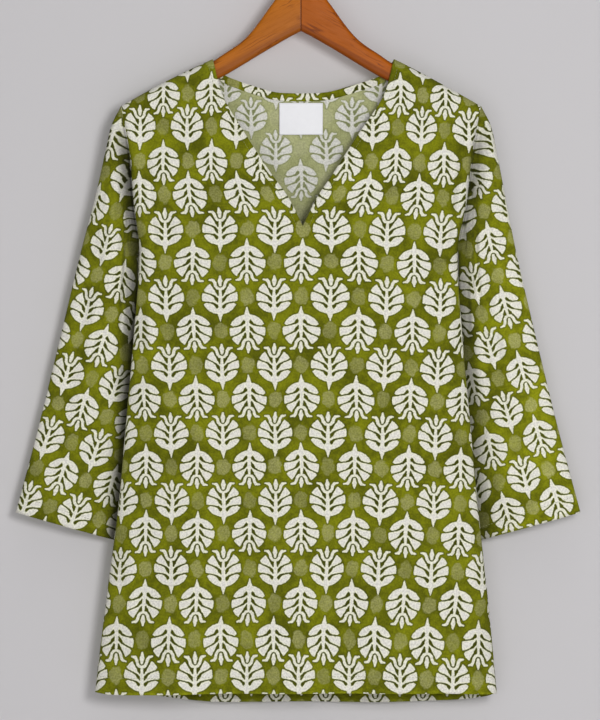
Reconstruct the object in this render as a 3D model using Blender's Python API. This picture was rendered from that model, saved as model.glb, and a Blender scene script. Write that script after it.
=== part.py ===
"""Kurta tunic on a wooden hanger.

Metres, +Z up, front towards -Y. The origin is the inside top of the hanger's hook, where a rail
carries it. Left is -X. The cloth is a set of thin walls: each panel is worked out from the body's
sections (half widths and depths at named heights), then given its thickness inwards.
"""
import math
from collections import namedtuple

import bmesh
import bpy
from mathutils import Vector

# ---------------------------------------------------------------- driving sizes (metres)

CLOTH = 0.0012            # thickness of every cloth wall
SEAM_GAP = 0.0003         # parting between two pieces at a seam

SHOULDER_END_X = 0.2148   # top of the armhole
SHOULDER_END_Z = -0.2244
NECK_POINT_X = 0.1056     # where neck edge and shoulder seam meet
NECK_POINT_Z = -0.1684
V_POINT_Z = -0.3684       # bottom of the V neckline
UNDERARM_Z = -0.398
RIDGE_BULGE = 0.002       # how far the shoulder line rises above a straight line

ROUNDNESS = 2.3           # exponent of the body's section: 2 is an ellipse, more is flatter
CAP_DROP = 0.012          # height over which the cloth turns round the hanger's top
ARMHOLE_DEPTH = 0.015     # half depth of the armhole, front to back
ARMHOLE_TOP_DEPTH = 0.0105
ARMHOLE_ROUND = 0.30      # share of the armhole's height that rounds off at the underarm
ARMHOLE_REACH = 6         # exponent of its fading towards the centre line

HALF_COLUMNS = 12         # grid columns from centre line to side
BODY_ROWS = 18            # grid rows from yoke line to hem
YOKE_ROWS = 14            # grid rows from yoke line to shoulder
NECK_COLUMNS = 6          # of the back's half columns, those that end on the neck
NECK_CROWDING = 2.2       # above 1 they crowd towards the neck point
SLEEVE_ROWS = 17          # rings along a sleeve

FACING_WIDTH = 0.0096
FACING_END_X = 0.091
FACING_CLEAR = 0.0005     # parting between facing or label and the panel behind it
FACING_SEGMENTS = 20
LABEL_WIDTH = 0.052
LABEL_HEIGHT = 0.038
LABEL_TOP_Z = -0.2200
LABEL_THICKNESS = 0.001

ARM_HALF_THICKNESS = 0.006
ARM_TIP_X = 0.2124
ARM_TIP_ROUND = 0.010
ARM_EDGE_ROUNDNESS = 2.9  # exponent of the arm's section
ARM_SECTION_POINTS = 16
ARM_SECTIONS = 20

WIRE_RADIUS = 0.0019
HOOK_INNER_RADIUS = 0.0222
HOOK_SOCKET_DEPTH = 0.018
HOOK_JOIN_ANGLE = -52.0   # degrees round the hook's circle where the shank joins it
HOOK_END_ANGLE = 202.0    # degrees round the circle where the wire ends
HOOK_SHANK_BEND_Z = -0.062

# The body's sections from shoulder to hem. Above the underarm half_width is the armhole seam.
# shift moves the sides only; depths are from the middle plane to the cloth at the centre line.
Section = namedtuple("Section", "z half_width shift front_depth back_depth")
BODY = [
    Section(-0.160, 0.2200, 0.0000, 0.0105, 0.0105),
    Section(-0.2244, 0.2148, 0.0000, 0.0140, 0.0120),
    Section(-0.280, 0.2050, 0.0000, 0.0180, 0.0150),
    Section(-0.340, 0.1990, -0.0010, 0.0213, 0.0183),
    Section(-0.398, 0.1905, -0.0030, 0.0240, 0.0214),
    Section(-0.500, 0.1965, -0.0035, 0.0274, 0.0256),
    Section(-0.600, 0.2055, -0.0035, 0.0293, 0.0281),
    Section(-0.700, 0.2145, -0.0035, 0.0300, 0.0290),
    Section(-0.800, 0.2265, -0.0045, 0.0305, 0.0300),
    Section(-0.940, 0.2420, -0.0065, 0.0320, 0.0315),
]

# Half of the neck edges, from the centre line to the neck point.
EdgePoint = namedtuple("EdgePoint", "x z")
FRONT_NECK = [
    EdgePoint(0.0000, V_POINT_Z),
    EdgePoint(0.0170, -0.3345),
    EdgePoint(0.0384, -0.3036),
    EdgePoint(0.0700, -0.2535),
    EdgePoint(0.0930, -0.2135),
    EdgePoint(NECK_POINT_X, NECK_POINT_Z),
]
BACK_NECK = [
    EdgePoint(0.0000, -0.2087),
    EdgePoint(0.0300, -0.2072),
    EdgePoint(0.0540, -0.2008),
    EdgePoint(0.0756, -0.1935),
    EdgePoint(0.0940, -0.1850),
    EdgePoint(NECK_POINT_X, NECK_POINT_Z),
]

# Height of each hem over the share of the half width, from centre (0) to side seam (1).
HemPoint = namedtuple("HemPoint", "share front back")
HEM = [
    HemPoint(0.00, -0.9282, -0.9390),
    HemPoint(0.50, -0.9284, -0.9388),
    HemPoint(0.78, -0.9330, -0.9350),
    HemPoint(0.92, -0.9318, -0.9318),
    HemPoint(1.00, -0.9270, -0.9270),
]

# Long soft folds of the body. They grow from z_start down to the hem; x places and half width
# are at the start and at the hem, height is at the hem, + outwards.
Fold = namedtuple("Fold", "panel x_start x_hem z_start half_width height")
BODY_FOLDS = [
    Fold("front", -0.112, -0.150, -0.42, 0.030, 0.0055),
    Fold("front", -0.060, -0.082, -0.56, 0.026, -0.0045),
    Fold("front", -0.010, -0.020, -0.52, 0.030, 0.0040),
    Fold("front", 0.048, 0.052, -0.60, 0.026, -0.0040),
    Fold("front", 0.104, 0.122, -0.44, 0.032, 0.0055),
    Fold("front", 0.150, 0.176, -0.55, 0.022, -0.0040),
    Fold("back", -0.130, -0.160, -0.46, 0.030, 0.0055),
    Fold("back", -0.070, -0.090, -0.36, 0.030, -0.0050),
    Fold("back", 0.000, 0.005, -0.44, 0.034, 0.0060),
    Fold("back", 0.070, 0.088, -0.38, 0.030, -0.0050),
    Fold("back", 0.128, 0.158, -0.48, 0.030, 0.0055),
]

# A sleeve's sections from armhole (0) to cuff (1). The outer line is where the flat tube turns on
# the arm's outer side, the inner line its underarm side; beyond_side is measured from the body's
# side seam, + outwards. y values are + backwards.
SleeveSection = namedtuple(
    "SleeveSection", "along outer_x outer_z outer_y beyond_side inner_z inner_y half_depth")
SLEEVE = [
    SleeveSection(0.00, 0.2148, -0.2244, 0.000, 0.0003, -0.3980, 0.000, 0.0150),
    SleeveSection(0.06, 0.2262, -0.2470, 0.000, 0.0012, -0.4120, 0.005, 0.0155),
    SleeveSection(0.13, 0.2330, -0.2750, 0.001, 0.0004, -0.4360, 0.011, 0.0170),
    SleeveSection(0.25, 0.2470, -0.3400, 0.004, -0.0030, -0.4820, 0.018, 0.0180),
    SleeveSection(0.40, 0.2660, -0.4210, 0.008, -0.0030, -0.5380, 0.022, 0.0175),
    SleeveSection(0.60, 0.2920, -0.5300, 0.011, -0.0040, -0.6100, 0.025, 0.0165),
    SleeveSection(0.80, 0.3142, -0.6200, 0.012, -0.0040, -0.6780, 0.026, 0.0155),
    SleeveSection(1.00, 0.3384, -0.7104, 0.012, -0.0030, -0.7452, 0.025, 0.0145),
]
SLEEVE_BLEND = 0.22       # share of the sleeve over which its section leaves the armhole's shape

# Folds along a sleeve; place is the share of the section from inner line (0) to outer line (1).
SleeveFold = namedtuple("SleeveFold", "face start end place_start place_end width height")
SLEEVE_FOLDS = [
    SleeveFold("front", 0.02, 0.60, 0.34, 0.20, 0.085, 0.0048),
    SleeveFold("front", 0.01, 0.50, 0.52, 0.38, 0.075, -0.0045),
    SleeveFold("front", 0.05, 0.80, 0.72, 0.60, 0.090, 0.0035),
    SleeveFold("front", 0.55, 1.10, 0.35, 0.45, 0.110, 0.0030),
    SleeveFold("back", 0.02, 0.55, 0.36, 0.24, 0.090, 0.0045),
    SleeveFold("back", 0.03, 0.60, 0.60, 0.46, 0.080, -0.0040),
    SleeveFold("back", 0.50, 1.10, 0.60, 0.50, 0.120, 0.0030),
]

# One arm of the hanger, from the centre seam outwards.
ArmSection = namedtuple("ArmSection", "x top bottom")
HANGER_ARM = [
    ArmSection(0.0000, -0.0720, -0.1327),
    ArmSection(0.0120, -0.0748, -0.1390),
    ArmSection(0.0225, -0.0832, -0.1450),
    ArmSection(0.0320, -0.0960, -0.1507),
    ArmSection(0.0430, -0.1112, -0.1572),
    ArmSection(0.0520, -0.1256, -0.1625),
    ArmSection(0.0630, -0.1400, -0.1690),
    ArmSection(0.0750, -0.1508, -0.1757),
    ArmSection(0.0920, -0.1620, -0.1848),
    ArmSection(0.1065, -0.1720, -0.1922),
    ArmSection(0.1200, -0.1788, -0.1985),
    ArmSection(0.1500, -0.1930, -0.2130),
    ArmSection(0.1900, -0.2140, -0.2305),
    ArmSection(0.2124, -0.2256, -0.2395),
]

COLOURS = {
    "printed_cotton": ((0.30, 0.33, 0.08), 0.85, 0.0),
    "facing_cotton": ((0.42, 0.46, 0.20), 0.85, 0.0),
    "label_cotton": ((0.86, 0.86, 0.88), 0.75, 0.0),
    "varnished_wood": ((0.50, 0.16, 0.04), 0.35, 0.0),
    "steel": ((0.62, 0.62, 0.64), 0.25, 1.0),
}


# ---------------------------------------------------------------- reading the tables

def read_table(rows, key, value, at):
    """Value of one column where another column has the given value, on a smooth curve."""
    keys = [getattr(row, key) for row in rows]
    values = [getattr(row, value) for row in rows]
    if keys[0] > keys[-1]:
        keys.reverse()
        values.reverse()
    at = min(max(at, keys[0]), keys[-1])
    i = 0
    while i < len(keys) - 2 and at > keys[i + 1]:
        i += 1

    def slope(k):
        low, high = max(k - 1, 0), min(k + 1, len(keys) - 1)
        return (values[high] - values[low]) / (keys[high] - keys[low])

    span = keys[i + 1] - keys[i]
    t = (at - keys[i]) / span
    return ((2 * t**3 - 3 * t**2 + 1) * values[i] + (t**3 - 2 * t**2 + t) * span * slope(i)
            + (3 * t**2 - 2 * t**3) * values[i + 1] + (t**3 - t**2) * span * slope(i + 1))


def along_edge(points, share):
    """Point at a share of the way along an edge given by a few points, on a smooth curve."""
    lengths = [0.0]
    for a, b in zip(points, points[1:]):
        lengths.append(lengths[-1] + math.hypot(b.x - a.x, b.z - a.z))
    Station = namedtuple("Station", "share x z")
    stations = [Station(d / lengths[-1], p.x, p.z) for d, p in zip(lengths, points)]
    return (read_table(stations, "share", "x", share), read_table(stations, "share", "z", share))


def smooth_step(t):
    t = min(max(t, 0.0), 1.0)
    return t * t * (3 - 2 * t)


def mix(a, b, t):
    return a + (b - a) * t


def crowded(step, steps):
    """Share of the way at a step, with the steps crowded at both ends."""
    return (1 - math.cos(math.pi * step / steps)) / 2


# ---------------------------------------------------------------- the body's form

def ridge_z(x):
    """Height of the shoulder line."""
    run = (abs(x) - NECK_POINT_X) / (SHOULDER_END_X - NECK_POINT_X)
    bulge = RIDGE_BULGE * math.sin(math.pi * min(max(run, 0.0), 1.0))
    return mix(NECK_POINT_Z, SHOULDER_END_Z, run) + bulge


def armhole_depth(z):
    """Half the depth of the open armhole at a height; none below the underarm."""
    up = (z - UNDERARM_Z) / (SHOULDER_END_Z - UNDERARM_Z)
    if up <= 0:
        return 0.0
    rounding = 1 - min(up / ARMHOLE_ROUND, 1.0)
    return mix(ARMHOLE_DEPTH, ARMHOLE_TOP_DEPTH, min(up, 1.0)) * math.sqrt(1 - rounding**2)


def fold_height(panel, x, z):
    total = 0.0
    for fold in BODY_FOLDS:
        if fold.panel != panel or z > fold.z_start:
            continue
        down = (fold.z_start - z) / (fold.z_start - HEM[0].back)
        middle = mix(fold.x_start, fold.x_hem, down)
        total += fold.height * smooth_step(down) * math.exp(-((x - middle) / fold.half_width)**2)
    return total


def panel_point(panel, u, z):
    """Point on the outside of the front or back, at a share u of the half width (-1 to 1)."""
    depth = read_table(BODY, "z", panel + "_depth", z)
    x = u * read_table(BODY, "z", "half_width", z) + u * u * read_table(BODY, "z", "shift", z)
    lens = max(1 - abs(u)**ROUNDNESS, 0.0)**(1 / ROUNDNESS)
    at_armhole = armhole_depth(z) * abs(u)**ARMHOLE_REACH
    below = max(ridge_z(x) - z, 0.0) / CAP_DROP
    cap = math.sqrt(1 - (1 - min(below, 1.0))**2)
    y = math.hypot(depth * lens, at_armhole) * cap + fold_height(panel, x, z) * (1 - u**4)
    y = SEAM_GAP / 2 + max(y, 0.0)
    return Vector((x, -y if panel == "front" else y, z))


def panel_normal(panel, u, z):
    """Outward direction of a panel away from its seams."""
    step = 0.002
    across = panel_point(panel, u + step, z) - panel_point(panel, u - step, z)
    up = panel_point(panel, u, z + step) - panel_point(panel, u, z - step)
    normal = across.cross(up).normalized()
    return normal if panel == "front" else -normal


# ---------------------------------------------------------------- walls of cloth

class Sheet:
    """The outer face of a piece of cloth, made of points and four-sided faces."""

    def __init__(self):
        self.points = []
        self.faces = []
        self.index_of = {}
        self.cut_direction = {}

    def add(self, point, cut_direction=None):
        """Index of a point; cut_direction is the way its wall is cut at a seam."""
        key = tuple(round(c, 6) for c in point)
        if key not in self.index_of:
            self.index_of[key] = len(self.points)
            self.points.append(Vector(point))
        index = self.index_of[key]
        if cut_direction is not None:
            self.cut_direction[index] = cut_direction
        return index

    def add_grid(self, rows):
        """Faces between rows of point indices."""
        for low, high in zip(rows, rows[1:]):
            for k in range(len(low) - 1):
                self.faces.append((low[k], low[k + 1], high[k + 1], high[k]))

    def to_wall(self, name, inside, colour):
        """Closed wall with its thickness on the side of the point inside."""
        mesh = bmesh.new()
        outer = [mesh.verts.new(p) for p in self.points]
        faces = [mesh.faces.new([outer[k] for k in face]) for face in self.faces]
        bmesh.ops.recalc_face_normals(mesh, faces=faces)
        mesh.normal_update()
        if sum(f.normal.dot(f.calc_center_median() - inside) * f.calc_area() for f in faces) < 0:
            bmesh.ops.reverse_faces(mesh, faces=faces)
            mesh.normal_update()
        inner = []
        for index, vertex in enumerate(outer):
            direction = vertex.normal.copy()
            if index in self.cut_direction:
                direction = self.cut_direction[index](direction)
            inner.append(vertex.co - direction * CLOTH)
        inner = [mesh.verts.new(p) for p in inner]
        partner = dict(zip(outer, inner))
        edges = [e for e in mesh.edges if e.is_boundary]
        rims = []
        for edge in edges:
            loop = edge.link_loops[0]
            a, b = loop.vert, loop.link_loop_next.vert
            rims.append((b, a, partner[a], partner[b]))
        for face in faces:
            mesh.faces.new([partner[v] for v in reversed(face.verts)])
        for rim in rims:
            mesh.faces.new(rim)
        return finish(mesh, name, colour)


def finish(mesh, name, colour):
    """Object with its own material from a finished bmesh."""
    bmesh.ops.recalc_face_normals(mesh, faces=mesh.faces)
    data = bpy.data.meshes.new(name)
    mesh.to_mesh(data)
    mesh.free()
    data.shade_smooth()
    data.set_sharp_from_angle(angle=math.radians(50))
    part = bpy.data.objects.new(name, data)
    bpy.context.scene.collection.objects.link(part)
    set_material(part, colour)
    return part


def set_material(part, colour):
    base, roughness, metallic = COLOURS[colour]
    material = bpy.data.materials.new(part.name + "_" + colour)
    material.use_nodes = True
    shader = material.node_tree.nodes["Principled BSDF"]
    shader.inputs["Base Color"].default_value = (*base, 1.0)
    shader.inputs["Roughness"].default_value = roughness
    shader.inputs["Metallic"].default_value = metallic
    part.data.materials.clear()
    part.data.materials.append(material)


# ---------------------------------------------------------------- front and back

def side_cut(side):
    """A side seam is cut straight across, so front and back face each other."""
    return lambda normal: Vector((side, 0, 0))


def shoulder_cut(side):
    slope = (NECK_POINT_Z - SHOULDER_END_Z) / (SHOULDER_END_X - NECK_POINT_X)
    direction = Vector((side * slope, 0, 1)).normalized()
    return lambda normal: direction


def armhole_cut(side):
    """At the armhole a wall never leans out over the sleeve."""
    def cut(normal):
        outward = max(normal.x * side, 0.0)
        return Vector((outward * side, normal.y, normal.z)).normalized()
    return cut


def yoke_z(u):
    """The line across the body from the V point to both underarms."""
    return mix(V_POINT_Z, UNDERARM_Z, u * u)


def half_outline(panel):
    """Bottom, top, inner and outer edge of half the yoke, as functions of a share 0 to 1."""
    def bottom(s):
        z = yoke_z(s)
        return s * read_table(BODY, "z", "half_width", z), z

    def outer(s):
        z = mix(UNDERARM_Z, SHOULDER_END_Z, s)
        return read_table(BODY, "z", "half_width", z), z

    def shoulder(s):
        x = mix(NECK_POINT_X, SHOULDER_END_X, s)
        return x, ridge_z(x)

    if panel == "front":
        return bottom, shoulder, lambda s: along_edge(FRONT_NECK, s), outer

    columns = [math.sin(math.pi / 2 * i / HALF_COLUMNS) for i in range(HALF_COLUMNS + 1)]
    neck_share = columns[NECK_COLUMNS]

    def top(s):
        if s <= neck_share:
            step = math.asin(s) / math.asin(neck_share)
            return along_edge(BACK_NECK, 1 - (1 - step)**NECK_CROWDING)
        step = (math.asin(min(s, 1.0)) - math.asin(neck_share)) / (
            math.pi / 2 - math.asin(neck_share))
        return shoulder(step)

    return bottom, top, lambda s: (0.0, mix(V_POINT_Z, BACK_NECK[0].z, s)), outer


def coons(edges, s, t):
    """Point inside four edges, at shares s across and t up."""
    bottom, top, inner, outer = edges
    point = []
    for k in (0, 1):
        ruled_up = mix(bottom(s)[k], top(s)[k], t)
        ruled_across = mix(inner(t)[k], outer(t)[k], s)
        corners = mix(mix(bottom(0)[k], bottom(1)[k], s), mix(top(0)[k], top(1)[k], s), t)
        point.append(ruled_up + ruled_across - corners)
    return point


def hem_z(panel, u):
    return read_table(HEM, "share", panel, abs(u))


def make_body_panel(panel):
    sheet = Sheet()
    rows = []
    for r in range(BODY_ROWS + 1):
        row = []
        for c in range(-HALF_COLUMNS, HALF_COLUMNS + 1):
            u = math.sin(math.pi / 2 * c / HALF_COLUMNS)
            z = mix(yoke_z(u), hem_z(panel, u), r / BODY_ROWS)
            cut = side_cut(math.copysign(1, u)) if abs(c) == HALF_COLUMNS else None
            row.append(sheet.add(panel_point(panel, u, z), cut))
        rows.append(row)
    sheet.add_grid(rows)

    edges = half_outline(panel)
    for side in (-1, 1):
        rows = []
        for r in range(YOKE_ROWS + 1):
            row = []
            for c in range(HALF_COLUMNS + 1):
                x, z = coons(edges, math.sin(math.pi / 2 * c / HALF_COLUMNS), crowded(r, YOKE_ROWS))
                u = x / read_table(BODY, "z", "half_width", z)
                on_shoulder = r == YOKE_ROWS and (panel == "front" or c >= NECK_COLUMNS)
                cut = None
                if on_shoulder:
                    cut = shoulder_cut(side)
                elif c == HALF_COLUMNS and r > 0:
                    cut = armhole_cut(side)
                row.append(sheet.add(panel_point(panel, side * min(u, 1.0), z), cut))
            rows.append(row if side > 0 else row[::-1])
        sheet.add_grid(rows)
    return sheet.to_wall(panel + "_panel", Vector((0, 0, -0.6)), "printed_cotton")


# ---------------------------------------------------------------- sleeves

def sleeve_fold_height(face, along, place):
    total = 0.0
    for fold in SLEEVE_FOLDS:
        if fold.face != face or not fold.start < along < fold.end:
            continue
        run = (along - fold.start) / (fold.end - fold.start)
        middle = mix(fold.place_start, fold.place_end, run)
        rise = math.sin(math.pi * run)
        total += fold.height * rise * math.exp(-((place - middle) / fold.width)**2)
    return total


def armhole_point(side, face, place):
    """Point on the armhole seam, just outside the panel's own edge."""
    z = mix(UNDERARM_Z, SHOULDER_END_Z, place)
    point = panel_point(face, side, z)
    point.x += side * SEAM_GAP
    if place in (0.0, 1.0):
        point.y = 0.0
    return point


def tube_point(side, face, along, place):
    """Point on the sleeve's own flat tube."""
    def at(column):
        return read_table(SLEEVE, "along", column, along)

    inner_z = at("inner_z")
    body_edge = read_table(BODY, "z", "half_width", inner_z)
    inner_x = body_edge + at("beyond_side")
    x = mix(inner_x, at("outer_x"), place)
    z = mix(inner_z, at("outer_z"), place)
    middle_y = mix(at("inner_y"), at("outer_y"), place)
    bulge = at("half_depth") * math.sqrt(max(1 - (2 * place - 1)**2, 0.0))
    bulge += sleeve_fold_height(face, along, place) * min(bulge / at("half_depth"), 1.0)
    shift = read_table(BODY, "z", "shift", z)
    return Vector((side * x + shift, middle_y + (-bulge if face == "front" else bulge), z))


def sleeve_point(side, face, along, place):
    blend = 1 - smooth_step(along / SLEEVE_BLEND)
    start = armhole_point(side, face, place) - tube_point(side, face, 0.0, place)
    return tube_point(side, face, along, place) + start * blend


def make_sleeve(side, name):
    sheet = Sheet()
    across = lambda normal: Vector((0, normal.y, normal.z)).normalized()
    rows = []
    for r in range(SLEEVE_ROWS + 1):
        along = (r / SLEEVE_ROWS)**1.25
        cut = across if r == 0 else None
        ring = []
        for k in range(YOKE_ROWS):
            ring.append(("front", crowded(k, YOKE_ROWS)))
        for k in range(YOKE_ROWS):
            ring.append(("back", 1 - crowded(k, YOKE_ROWS)))
        row = [sheet.add(sleeve_point(side, face, along, place), cut) for face, place in ring]
        rows.append(row + row[:1])
    sheet.add_grid(rows)
    centre = sum((p for p in sheet.points), Vector()) / len(sheet.points)
    return sheet.to_wall(name, centre, "printed_cotton")


# ---------------------------------------------------------------- facing and label

def inside_back(x, z, clear):
    """Point inside the back panel, a distance clear of the panel's inner face."""
    u = x / read_table(BODY, "z", "half_width", z)
    return panel_point("back", u, z) - panel_normal("back", u, z) * (CLOTH + clear)


def lay_on_back(name, spots, thickness, colour):
    """Closed piece of cloth from a grid of x, z spots, lying on the inside of the back."""
    mesh = bmesh.new()
    layers = []
    for clear in (FACING_CLEAR, FACING_CLEAR + thickness):
        layers.append([[mesh.verts.new(inside_back(x, z, clear)) for x, z in row] for row in spots])
    rows, columns = len(spots), len(spots[0])
    for layer in layers:
        for r in range(rows - 1):
            for c in range(columns - 1):
                mesh.faces.new((layer[r][c], layer[r][c + 1], layer[r + 1][c + 1], layer[r + 1][c]))
    back, front = layers
    rim = [(0, c) for c in range(columns)] + [(r, columns - 1) for r in range(1, rows)]
    rim += [(rows - 1, c) for c in range(columns - 2, -1, -1)] + [(r, 0) for r in range(rows - 2, 0, -1)]
    for (ra, ca), (rb, cb) in zip(rim, rim[1:] + rim[:1]):
        mesh.faces.new((back[ra][ca], back[rb][cb], front[rb][cb], front[ra][ca]))
    return finish(mesh, name, colour)


def make_facing():
    share_end = 1.0
    while along_edge(BACK_NECK, share_end)[0] > FACING_END_X:
        share_end -= 0.005
    rows = [[], [], []]
    for k in range(-FACING_SEGMENTS, FACING_SEGMENTS + 1):
        share = share_end * abs(k) / FACING_SEGMENTS
        x, z = along_edge(BACK_NECK, share)
        ahead = along_edge(BACK_NECK, min(share + 0.01, 1.0))
        behind = along_edge(BACK_NECK, max(share - 0.01, 0.0))
        if k == 0:
            down = (0.0, -1.0)
        else:
            run, rise = ahead[0] - behind[0], ahead[1] - behind[1]
            down = (rise / math.hypot(run, rise), -run / math.hypot(run, rise))
        for r, row in enumerate(rows):
            reach = FACING_WIDTH * r / (len(rows) - 1)
            row.append((math.copysign(1, k) * (x + down[0] * reach * 0.6), z + down[1] * reach))
    return lay_on_back("back_neck_facing", rows, CLOTH, "facing_cotton")


def make_label():
    columns, rows = 8, 5
    spots = []
    for r in range(rows + 1):
        z = LABEL_TOP_Z - LABEL_HEIGHT * r / rows
        spots.append([(LABEL_WIDTH * (c / columns - 0.5), z) for c in range(columns + 1)])
    return lay_on_back("label", spots, LABEL_THICKNESS, "label_cotton")


# ---------------------------------------------------------------- hanger

def arm_section(x):
    """Middle height, half height and half thickness of the arm at a distance from the seam."""
    top = read_table(HANGER_ARM, "x", "top", x)
    bottom = read_table(HANGER_ARM, "x", "bottom", x)
    into_tip = max((x - ARM_TIP_X + ARM_TIP_ROUND) / ARM_TIP_ROUND, 0.0)
    shrink = math.sqrt(max(1 - into_tip**2, 0.0))
    return (top + bottom) / 2, (top - bottom) / 2 * shrink, ARM_HALF_THICKNESS * shrink


def make_arm(side, name):
    mesh = bmesh.new()
    rings = []
    for k in range(ARM_SECTIONS):
        share = k / ARM_SECTIONS
        x = SEAM_GAP / 2 + (ARM_TIP_X - SEAM_GAP / 2) * math.sin(math.pi / 2 * share)
        middle, half_height, half_thickness = arm_section(x)
        ring = []
        for p in range(ARM_SECTION_POINTS):
            angle = 2 * math.pi * (p + 0.5) / ARM_SECTION_POINTS
            c, s = math.cos(angle), math.sin(angle)
            y = math.copysign(abs(c)**(2 / ARM_EDGE_ROUNDNESS), c) * half_thickness
            z = math.copysign(abs(s)**(2 / ARM_EDGE_ROUNDNESS), s) * half_height
            ring.append(mesh.verts.new((side * x, y, middle + z)))
        rings.append(ring)
    for low, high in zip(rings, rings[1:]):
        for p in range(ARM_SECTION_POINTS):
            q = (p + 1) % ARM_SECTION_POINTS
            mesh.faces.new((low[p], low[q], high[q], high[p]))
    mesh.faces.new(rings[0])
    tip = mesh.verts.new((side * ARM_TIP_X, 0, arm_section(ARM_TIP_X)[0]))
    for p in range(ARM_SECTION_POINTS):
        mesh.faces.new((rings[-1][p], rings[-1][(p + 1) % ARM_SECTION_POINTS], tip))
    arm = finish(mesh, name, "varnished_wood")

    drill = arm.modifiers.new("hook_socket", "BOOLEAN")
    drill.operation = "DIFFERENCE"
    drill.object = hook_socket()
    return arm


def hook_socket():
    """Hole for the hook's shank, cut half into each arm."""
    if "hook_socket" in bpy.data.objects:
        return bpy.data.objects["hook_socket"]
    top = HANGER_ARM[0].top
    mesh = bmesh.new()
    bmesh.ops.create_cone(
        mesh, cap_ends=True, segments=12, radius1=WIRE_RADIUS + SEAM_GAP,
        radius2=WIRE_RADIUS + SEAM_GAP, depth=2 * HOOK_SOCKET_DEPTH)
    bmesh.ops.translate(mesh, verts=mesh.verts, vec=(0, 0, top))
    cutter = finish(mesh, "hook_socket", "steel")
    cutter.hide_render = True
    cutter.display_type = "WIRE"
    return cutter


def make_hook():
    """Bent wire: shank out of the socket, a bend to one side and an open round over the rail."""
    radius = HOOK_INNER_RADIUS + WIRE_RADIUS
    centre_z = WIRE_RADIUS - radius
    route = [(0.0, HANGER_ARM[0].top - HOOK_SOCKET_DEPTH + SEAM_GAP + WIRE_RADIUS)]
    route.append((0.0, mix(route[0][1], HOOK_SHANK_BEND_Z, 0.5)))
    start = math.radians(HOOK_JOIN_ANGLE)
    join = (radius * math.cos(start), centre_z + radius * math.sin(start))
    heading = (-math.sin(start), math.cos(start))
    reach = 1.1 * math.hypot(join[0], join[1] - HOOK_SHANK_BEND_Z)
    for k in range(9):
        t = k / 8
        h = (2 * t**3 - 3 * t**2 + 1, t**3 - 2 * t**2 + t, 3 * t**2 - 2 * t**3, t**3 - t**2)
        x = h[2] * join[0] + h[3] * reach * heading[0]
        z = h[0] * HOOK_SHANK_BEND_Z + h[1] * reach + h[2] * join[1] + h[3] * reach * heading[1]
        route.append((x, z))
    steps = 30
    for k in range(1, steps + 1):
        angle = math.radians(mix(HOOK_JOIN_ANGLE, HOOK_END_ANGLE, k / steps))
        route.append((radius * math.cos(angle), centre_z + radius * math.sin(angle)))

    curve = bpy.data.curves.new("hanger_hook", "CURVE")
    curve.dimensions = "3D"
    curve.bevel_depth = WIRE_RADIUS
    curve.bevel_resolution = 2
    curve.use_fill_caps = True
    wire = curve.splines.new("POLY")
    wire.points.add(len(route) - 1)
    for point, (x, z) in zip(wire.points, route):
        point.co = (x, 0, z, 1)
    hook = bpy.data.objects.new("hanger_hook", curve)
    bpy.context.scene.collection.objects.link(hook)
    set_material(hook, "steel")
    return hook


# ---------------------------------------------------------------- the whole

def main():
    for old in list(bpy.data.objects):
        bpy.data.objects.remove(old)
    make_body_panel("front")
    make_body_panel("back")
    make_sleeve(-1, "sleeve_left")
    make_sleeve(1, "sleeve_right")
    make_facing()
    make_label()
    make_arm(-1, "hanger_arm_left")
    make_arm(1, "hanger_arm_right")
    make_hook()


main()
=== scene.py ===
import bisect
import math

import bmesh
import bpy
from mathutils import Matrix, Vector


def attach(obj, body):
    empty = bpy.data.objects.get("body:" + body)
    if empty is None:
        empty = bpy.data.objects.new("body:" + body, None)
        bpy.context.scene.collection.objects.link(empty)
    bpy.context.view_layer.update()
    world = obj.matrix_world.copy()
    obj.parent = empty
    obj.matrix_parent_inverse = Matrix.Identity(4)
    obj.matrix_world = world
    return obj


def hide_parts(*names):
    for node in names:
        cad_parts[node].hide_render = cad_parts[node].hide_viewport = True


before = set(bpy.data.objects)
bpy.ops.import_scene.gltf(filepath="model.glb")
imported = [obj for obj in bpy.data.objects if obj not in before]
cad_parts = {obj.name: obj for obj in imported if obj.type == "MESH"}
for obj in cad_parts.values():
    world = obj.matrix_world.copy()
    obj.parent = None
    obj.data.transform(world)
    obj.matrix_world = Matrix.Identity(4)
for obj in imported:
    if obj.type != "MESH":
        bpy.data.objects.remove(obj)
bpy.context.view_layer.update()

# camera, wall and light

studio = {
    "aim": (-0.0012, -0.003, -0.528),
    "distance": 4.6,          # from camera to the middle of the cloth
    "frameHeight": 0.860,     # height of the view at that distance
    "sensor": 36.0,
    "wallY": 0.045,
    "wallMiddleZ": -0.4,
    "wallSize": 5,
    "wallColour": (0.60, 0.585, 0.595),
    "floorZ": -1.75,
    "floorSize": 8,
    "floorColour": (0.62, 0.61, 0.61),
    "paintRoughness": 0.95,
    "lights": {               # place, size and power
        "key": ((0.78, -3.2, -0.12), 0.8, 44.8),
        "fill": ((-0.05, -2.9, -0.8), 2.4, 22.0),
        "top": ((0.1, -0.9, 1.7), 1.4, 4.0),
        "back": ((-0.7, 3.0, 0.3), 2.0, 30.0),
    },
    "roomColour": (0.80, 0.80, 0.82),
    "roomStrength": 0.34,
}


def addToScene(name, data):
    thing = bpy.data.objects.new(name, data)
    bpy.context.scene.collection.objects.link(thing)
    return thing


def addLight(name, target, place, size, power):
    lamp = bpy.data.lights.new(name, "AREA")
    lamp.shape = "DISK"
    lamp.size = size
    lamp.energy = power
    holder = addToScene(name, lamp)
    holder.location = place
    holder.rotation_mode = "QUATERNION"
    holder.rotation_quaternion = (Vector(target) - Vector(place)).to_track_quat("-Z", "Y")


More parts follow.
